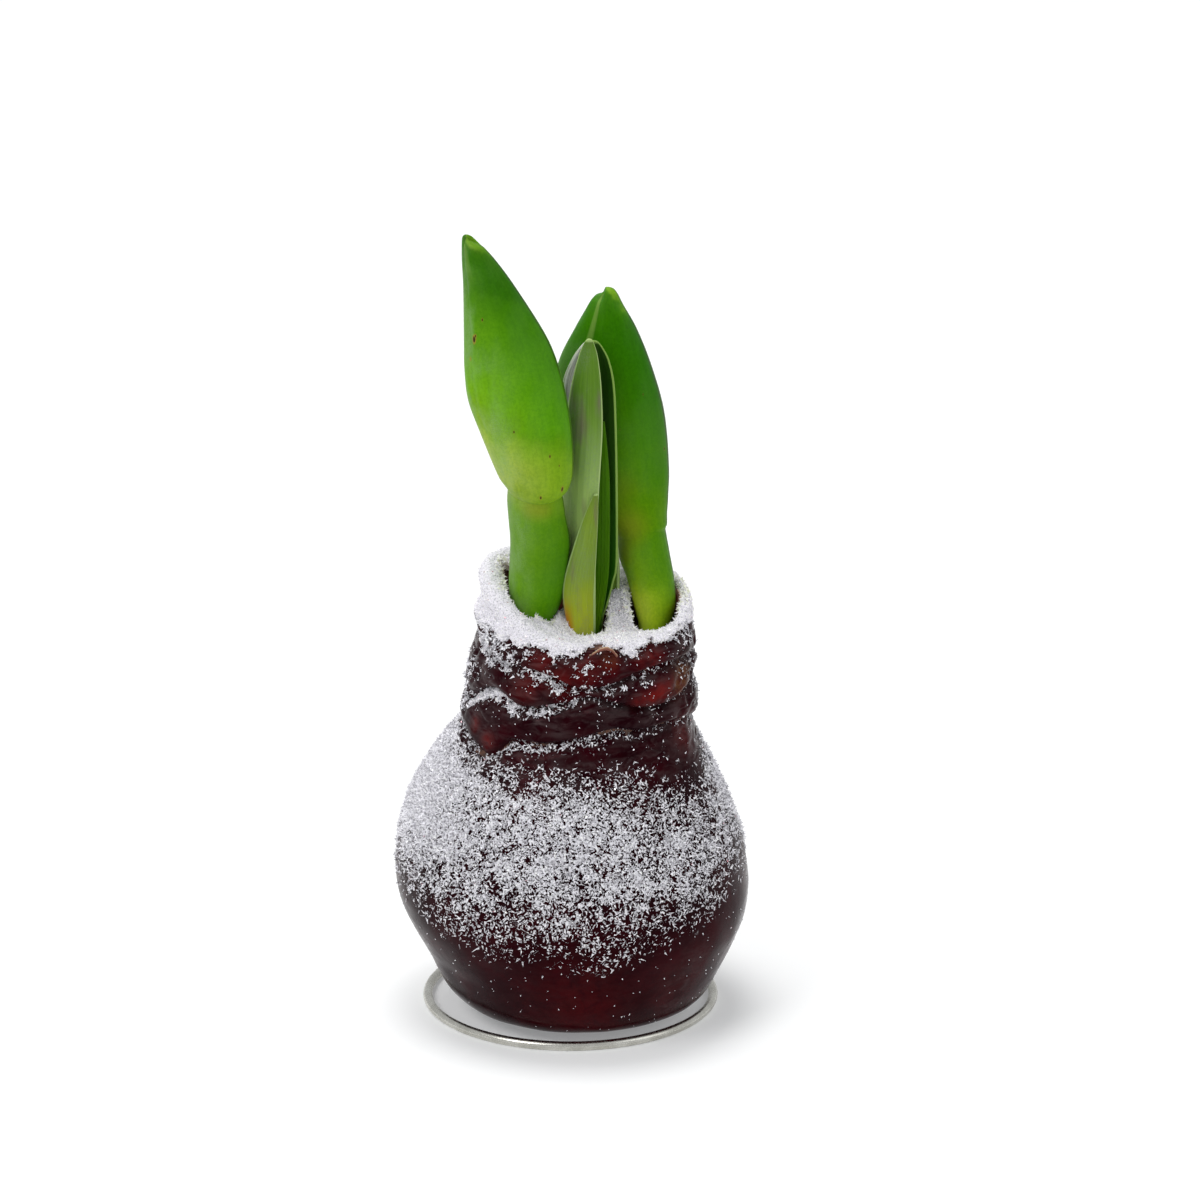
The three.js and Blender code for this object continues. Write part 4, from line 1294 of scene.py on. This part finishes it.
# Each stem's name, slot, rows, steps and seam, then what its paint is told.
STEMS = [
    ("left_stalk", "stalk", LEFT_STALK, STALK_STEPS, plain_stalk)
    + (LEFT_STALK_GREENS, 0.6, (), LEFT_OLIVE_SHADE, None),
    ("left_bud", "bud", LEFT_BUD, BUD_STEPS, left_bud_seam)
    + (LEFT_BUD_GREENS, 0.7, front_spots(LEFT_BUD, LEFT_BUD_SPOTS), (), LEFT_CREST),
    ("right_stalk", "stalk", RIGHT_STALK, STALK_STEPS, plain_stalk)
    + (RIGHT_STALK_GREENS, 0.2, (), RIGHT_OLIVE_SHADE, None),
    ("right_bud", "bud", RIGHT_BUD, BUD_STEPS, right_bud_seam)
    + (RIGHT_BUD_GREENS, 0.2, front_spots(RIGHT_BUD, RIGHT_BUD_SPOTS), RIGHT_OLIVE_SHADE, RIGHT_CREST),
]


def make_shoot(name, slot, rings, fibre, brush, look):
    """A stem or leaf over its rings, with each point's place in it as the fibre attribute."""
    attributes = {"fibre": with_ends(np.stack(fibre, -1))}
    skin = make_material(name + "_skin", brush, *look)
    return make_piece(name + "_skin", *skin_rings(rings), attributes, skin, slot, name)


def make_stem(name, slot, rows, steps, seam, *look):
    table = catmull_rom(rows, steps)
    turn = np.linspace(0, 2 * math.pi, STEM_COLUMNS, endpoint=False)[None, :]
    height, left, right, middle, depth = (table[:, column, None] for column in range(5))
    share = (height - height[0]) / (height[-1] - height[0])
    swell, lift = seam(share, turn)
    x = (left + right) / 2 + (right - left) / 2 * swell * np.cos(turn)
    y = middle + depth * swell * np.sin(turn)
    rings = np.stack([x, y, height + lift + 0 * turn], -1)
    round_it = turn + 0 * share
    fibre = (np.cos(round_it), np.sin(round_it), share + 0 * turn)
    return make_shoot(name, slot, rings, fibre, paint_stem, look)


# ---------------------------------------------------------------- leaves

# Each entry is a height, and the x and y of the left edge, the midrib and the right edge there.
FRONT_LEAF = [
    (93, 1, -1.6, 3.6, -5, 6.3, -5.2), (108, -1.4, 0.4, 3.0, -5.3, 6.3, -5.7),
    (125, -2.2, 0.5, 2.8, -5.2, 6.4, -6), (140, -1.4, 0, 3.1, -5.7, 7.2, -5.8),
    (155, -0.9, -2.2, 4, -6.4, 8, -5.4), (166, 0.5, -3.2, 4.3, -6.2, 7.8, -5.1),
    (174, 2.3, -3.9, 4.7, -5.5, 7, -4.9), (177.9, 3.7, -4.5, 4.8, -5, 6.1, -4.8),
    (179.2, 4.5, -4.6, 5, -4.8, 5.4, -4.7),
]
BACK_LEAF = [
    (93, 2.5, 1.2, 5.2, 1.4, 7.2, -1.4), (104, 2.2, 1.4, 5.6, 1.6, 8.3, -1.6),
    (108.5, 1.8, 1.6, 6, 1.8, 9.5, -1.8), (114.5, 1.7, 1.7, 6, 1.9, 11, -2.1),
    (120, 1.6, 1.8, 6, 2, 11.9, -2.2), (140, 0, 1.2, 5.4, 2.2, 11.9, -2.4),
    (156, -1.6, -0.2, 5.2, 2, 11.6, -2.4), (166.5, -1.6, -1.4, 5.2, 1.6, 11.1, -2.4),
    (172.8, 0.5, -2, 5.6, 0.2, 9.8, -2.2), (176.4, 2.8, -1.9, 5.8, -1.2, 8, -2),
    (177.8, 4.2, -1.8, 5.8, -1.7, 6.8, -1.9),
]
INNER_LEAF = [
    (93, 4.4, -1.9, 5.8, -2.2, 7, -2.6), (104, 4, -1.9, 6, -2.3, 7.9, -2.9),
    (112, 3.8, -1.9, 6.5, -2.4, 9.2, -3.1), (120, 3.6, -1.8, 6.8, -2.4, 9.9, -3.2),
    (140, 4, -2, 7, -2.6, 10, -3.4), (150, 5.5, -2.4, 7.4, -2.8, 9.4, -3.3),
    (157, 7.4, -2.8, 8, -2.9, 8.7, -3.1),
]
OUTER_LEAF = [
    (93, 1.4, -7.2, 3.4, -8.6, 5.8, -7.4), (104, -0.4, -7.4, 3.0, -9.2, 5.9, -7.6),
    (112, -1.6, -7.6, 2.6, -9.4, 5.9, -7.8), (118, -1.1, -7.9, 3.0, -9.4, 6.2, -8),
    (127, 1.4, -8.2, 4.5, -9.1, 6.6, -8.1), (133.5, 3.6, -8.2, 5.4, -8.7, 6.9, -8),
    (139.6, 6.2, -7.8, 6.6, -7.9, 7, -7.8),
]
SHEATH_LEAF = [
    (93, 4.6, 4.2, 7.6, 4.6, 10.6, 3.2), (105, 4.2, 4.4, 7.8, 5, 12.2, 3.3),
    (116, 4.6, 4.4, 8.2, 4.9, 12.4, 3), (121.5, 6.8, 4.2, 9.4, 4.2, 12, 2.7),
    (124, 9.4, 3.6, 10.3, 3.4, 11.2, 2.9),
]
LEAF_STEPS = 110
LEAF_ACROSS = 22
LEAF_RIBS = 7
RIB_HEIGHT = 0.09
LEAF_EDGE = 0.32
MARGIN = (166, 192, 122)
RIB_LIGHT = (1.4, 1.35, 1.45)
RIB_STRETCH = (26.0, 3.0, 2.2)
LEAF_BLOOM = (0.17, 0.24, 0.13)
LEAF_TINT = (0.16, 0.10, 0.11)
SILVER_SHEEN = (0.80, 0.80, 0.77)
FLUSH = (0.48, 0.12, 0.012)
LEAF_DEPTH = {**PLANT_DEPTH, "Subsurface Weight": 0.1, "Subsurface Scale": 0.001}

# Each leaf's name, slot, rows, thickness and edge, then what its paint is told.
LEAVES = [
    # The front leaf's foot is painted pale as painted light, lifting the shade that the bud and outer leaf
    # cast on it.
    ("front_leaf", "leaf", FRONT_LEAF, 1.3, LEAF_EDGE)
    + ((82, 119, 36), (50, 82, 24), MARGIN, (184, 212, 126), 0.62, 0.36, 0.5),
    # The back leaf's dark greens are partly painted shade, for the shade in the fold behind the front leaf.
    ("back_leaf", "leaf_dark", BACK_LEAF, 1.3, 0.2)
    + ((30, 66, 12), (70, 104, 40), (128, 160, 78), (26, 84, 2), 0.0, 0.3, 0.04, 1.0, 0.0, 0.024),
    ("inner_leaf", "leaf_dark", INNER_LEAF, 1.0, LEAF_EDGE)
    + ((58, 106, 8), (40, 84, 4), (62, 108, 14), (96, 142, 12), 0.0, 0.16, 0.05),
    ("outer_leaf", "leaf", OUTER_LEAF, 1.3, LEAF_EDGE)
    + ((110, 136, 46), (80, 112, 30), MARGIN, (178, 188, 34), 0.6, 0.26, 0.45, 0.0, 0.9),
    ("sheath_leaf", "leaf", SHEATH_LEAF, 1.0, LEAF_EDGE)
    + ((100, 136, 34), (80, 118, 24), MARGIN, (130, 146, 40), 0.1, 0.2, 0.3),
]


def paint_leaf(
    paint, front, back, margin, foot, tint, foot_height, bloom, silver_sheen=0.0, flush=0.0, width=0.06
):
    """Leaf skin: its front and back, its pale margins and their width, its foot and that foot's
    height, and how much purple tint, grey bloom, painted silver sheen along the left margin
    where it curls, and orange-red flush on the left of the foot it has."""
    front, back, margin, foot = (from_srgb(levels) for levels in (front, back, margin, foot))
    fibre, across, face, share = paint.fibre()
    veins = paint.noise(paint.vector("MULTIPLY", fibre, RIB_STRETCH), 1.0, 3, 0.6)
    colour = paint.mix(face, front, back)
    colour = paint.mix(paint.ease(veins, 0.35, 0.68, 0.0, 0.6), colour, RIB_LIGHT, "MULTIPLY")
    colour = paint.mix(paint.ease(share, foot_height * 2.4, foot_height * 0.6), colour, foot)
    grain = paint.noise(paint.place(), 0.45, 3, 0.7)
    patch = paint.patches(paint.place((1, 1, 0.4)), (5, 3, 0.6), 0.38, 0.62)
    amount = paint.times(paint.ease(grain, 0.4, 0.7, 0.25, 1.0), patch)
    colour = paint.mix(paint.times(amount, bloom), colour, LEAF_BLOOM)
    tinted = paint.patches(paint.place((1, 1, 0.25)), (4, 2, 0.5), 0.5, 0.75)
    colour = paint.mix(paint.times(tinted, tint), colour, LEAF_TINT)

    middle = paint.math("ABSOLUTE", paint.math("SUBTRACT", across, 0.5))
    edge = paint.ease(middle, 0.5 - width, 0.5 - width / 3)
    edge = paint.math("MAXIMUM", edge, paint.ease(share, 0.99, 0.998))
    colour = paint.mix(edge, colour, margin)
    flushed = paint.times(paint.ease(across, 0.34, 0.04), paint.ease(share, 0.46, 0.24))
    colour = paint.mix(paint.times(flushed, flush), colour, FLUSH)
    # Painted sheen: a silver band along the left margin, standing in for the reflection where the leaf curls
    # away.
    band = paint.times(paint.ease(across, 0.26, 0.16), paint.ease(veins, 0.36, 0.6, 0.3, 1.0))
    band = paint.times(band, paint.ease(share, 0.6, 0.75, 0.0, silver_sheen))
    colour = paint.mix(band, colour, SILVER_SHEEN)
    relief = paint.math("ADD", veins, paint.times(grain, 0.3))
    roughness = paint.ease(grain, 0.3, 0.7, 0.42, 0.6)
    paint.finish(colour, roughness, LEAF_DEPTH, (relief, 0.3, 0.6))


def make_leaf(name, slot, rows, thickness, edge, *look):
    """A closed curved strip between three rails, thick at the midrib and ribbed lengthwise."""
    table = catmull_rom(rows, LEAF_STEPS)
    height = table[:, 0, None]
    left, middle, right = (table[:, None, column : column + 2] for column in (1, 3, 5))
    pull = 2 * middle - (left + right) / 2
    u = np.linspace(0, 1, LEAF_ACROSS + 1)[None, :, None]
    middle_line = left * (1 - u) ** 2 + 2 * pull * u * (1 - u) + right * u**2
    along = 2 * (pull - left) * (1 - u) + 2 * (right - pull) * u
    along /= np.linalg.norm(along, axis=-1, keepdims=True)
    across = (2 * u - 1) ** 2
    ribs = RIB_HEIGHT * np.cos(2 * math.pi * LEAF_RIBS * u) * (1 - across)
    half = thickness / 2 * (1 - across) + edge * across + ribs
    out = half * np.stack([along[..., 1], -along[..., 0]], -1)
    flat = np.concatenate([middle_line + out, (middle_line - out)[:, ::-1]], axis=1)
    rings = np.concatenate([flat, np.broadcast_to(height[..., None], (*flat.shape[:2], 1))], axis=-1)

    line = np.concatenate([u[0, :, 0], u[0, ::-1, 0]])
    face = np.repeat([0.0, 1.0], LEAF_ACROSS + 1)
    share = (height - height[0]) / (height[-1] - height[0])
    fibre = (line + 0 * share, face + 0 * share, share + 0 * line)
    return make_shoot(name, slot, rings, fibre, paint_leaf, look)


# ---------------------------------------------------------------- the wire

WIRE_DIAMETER = 2.4
RING_RADIUS = 36.7
RING_CENTRE_Y = 2.5
RING_START = 12
RING_STEP = 2
ARM_START = 9
ARM_CORNER = 1.6
SPIKE_TOP = 22
WIRE_BEND_RADIUS = 2.5
WIRE_SIDES = 20
STEEL_GREY = (0.50, 0.49, 0.44)
STEEL_PALE = (0.66, 0.65, 0.60)


def bend(start, corner, end, steps):
    """Points of a bend that leaves its start towards a corner and comes from it to its end."""
    start, corner, end = (np.asarray(point, float) for point in (start, corner, end))
    t = np.linspace(0, 1, steps + 1)[1:, None]
    return start * (1 - t) ** 2 + 2 * corner * t * (1 - t) + end * t**2


def wire_path():
    """The wire's middle line: the ring, an arm to the middle, and a spike up into the bulb."""
    level = WIRE_DIAMETER / 2
    turn = np.radians(np.arange(RING_START, 360 - RING_START + 1, RING_STEP))
    x, y = RING_RADIUS * np.sin(turn), RING_CENTRE_Y + RING_RADIUS * np.cos(turn)
    ring = np.column_stack([x, y, 0 * turn + level])
    arm = (0, y[-1] - ARM_START, level)
    foot = (0, WIRE_BEND_RADIUS, level)
    rise = bend(foot, (0, 0, level), (0, 0, level + WIRE_BEND_RADIUS), 12)
    run = bend(ring[-1], (0, y[-1] + ARM_CORNER, level), arm, 24)
    return np.concatenate([ring, run, [foot], rise, [(0, 0, SPIKE_TOP)]])


def paint_wire(paint):
    """Dull grey steel with faint tarnish."""
    place = paint.place()
    colour = paint.mix(paint.patches(place, (6, 4, 0.6), 0.3, 0.7), STEEL_GREY, STEEL_PALE)
    fine = paint.noise(place, 0.5, 3, 0.7)
    gloss = paint.ease(fine, 0.3, 0.7, 0.2, 0.34)
    paint.finish(colour, gloss, {"Metallic": 1.0}, (fine, 0.04, 0.5))


def make_wire():
    points = wire_path()
    mesh = bpy.data.meshes.new("wire_line")
    mesh.from_pydata((points * MM).tolist(), [(i, i + 1) for i in range(len(points) - 1)], [])
    line = new_object("wire_line", mesh)
    steel = make_material("drawn_steel", paint_wire)
    values = {"Diameter": WIRE_DIAMETER * MM, "Sides": WIRE_SIDES, "Material": steel}
    piece = grow_piece("wire_ring", line, rod_tree(), values, "wire_stand")
    bpy.data.objects.remove(line)
    return piece


# ---------------------------------------------------------------- torn scale edges

# Each edge of a dry scale that shows: its name, its run as angle, distance from the neck's middle
# line and height of its rim, then how far it reaches down, and its thickness.
SCALE_EDGES = [
    (
        "front_scale_edge",
        [(-88.5, 27.6, 110.8), (-85, 27.9, 113.3), (-81, 28, 114.1), (-77, 27.8, 112.9), (-73.5, 27.4, 110)],
        1.5,
        0.8,
    ),
    (
        "left_scale_edge",
        [(150, 20.6, 110), (156, 20.9, 113.4), (163, 21, 114.6), (170, 20.9, 114), (178, 20.5, 110.6)],
        6,
        0.8,
    ),
    (
        "middle_scale_edge",
        [(-158, 8.2, 109), (-149, 7.9, 113), (-139, 7.5, 114.6), (-128, 7.2, 113.2), (-118, 7, 109.5)],
        5,
        0.6,
    ),
    (
        "right_scale_edge",
        [(-20, 23.6, 109), (-6, 23.9, 111.4), (8, 23.8, 111.8), (22, 23.2, 110.6), (34, 22.6, 108.5)],
        6,
        0.8,
    ),
    (
        "back_scale_edge",
        [(60, 19.5, 109), (76, 19.9, 112), (92, 20.1, 112.8), (108, 19.8, 111.9), (124, 19.2, 109)],
        6,
        0.8,
    ),
]
# The section of an edge: share of its reach, and how far it stands out per unit of thickness.
SCALE_SECTION = [
    (0, -0.5), (0.3, 0.34), (0.65, 0.46), (0.9, 0.36), (1, 0.1), (0.92, -0.14), (0.3, -0.5),
]
SCALE_STEPS = 48


def make_scale_edge(material, name, run, reach, thickness):
    """A thin curved strip of scale that stands on edge round the neck's middle line."""
    degrees, radius, height = catmull_rom(run, SCALE_STEPS).T
    torn = 0.35 * lumps(np.column_stack([degrees / 4, radius, height]), 1.2, 3, 2.6)
    rings = []
    for share, proud in SCALE_SECTION:
        level = height - reach * (1 - share) + torn * share
        rings.append(bulb_points(radius + thickness * proud, level, np.radians(degrees)))
    rims = np.array([[share for share, _ in SCALE_SECTION]] * len(degrees), float)
    shape, faces = skin_rings(np.array(rings).transpose(1, 0, 2))
    return make_piece(name, shape, faces, {"rim": with_ends(rims)}, material, "bulb_scale")


# ---------------------------------------------------------------- the build

make_camera()
make_studio()

wax = make_wax()
crust = make_crust()
grain_paint = make_material("snow_grains", paint_grain)
crystal_paint = make_material("crust_crystals", paint_crystals, CRYSTAL_PALE)
rim_paint = make_material("rim_crystals", paint_crystals, CRYSTAL_GREEN)
glitter_paint = make_material("glitter", paint_glitter)
# Name, surface, attribute, grains per square millimetre, size, length, tilt, seed and paint.
STREWN = [
    ("wax_grains_a", wax, "grains", 4.6, 0.57, 1.8, 1.3, 11, grain_paint),
    ("wax_grains_b", wax, "grains", 5.4, 0.42, 2.3, 1.5, 29, grain_paint),
    ("wax_specks", wax, "stray", 2.2, 0.3, 1.2, 1.2, 17, grain_paint),
    ("crust_grains", crust, "loose", 4.5, 0.4, 1.3, 1.2, 23, crystal_paint),
    ("rim_crystals", crust, "rim", 9.0, 0.5, 2.0, 1.5, 41, rim_paint),
    ("wax_glitter", wax, "stray", 0.14, 0.7, 0.3, 0.6, 37, glitter_paint),
    ("crust_glitter", crust, "loose", 0.25, 0.7, 0.3, 0.6, 43, glitter_paint),
]
shards = grain_tree()
pieces = [strew(shards, *row) for row in STREWN]
pieces = [make_bulb(), wax, crust, *pieces]
torn_scale = make_material("torn_scale", paint_scale_edge)
pieces += [make_scale_edge(torn_scale, *row) for row in SCALE_EDGES]
pieces += [make_stem(*row) for row in STEMS]
pieces += [make_leaf(*row) for row in LEAVES]
pieces.append(make_wire())
for piece in pieces:
    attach(piece, "root")
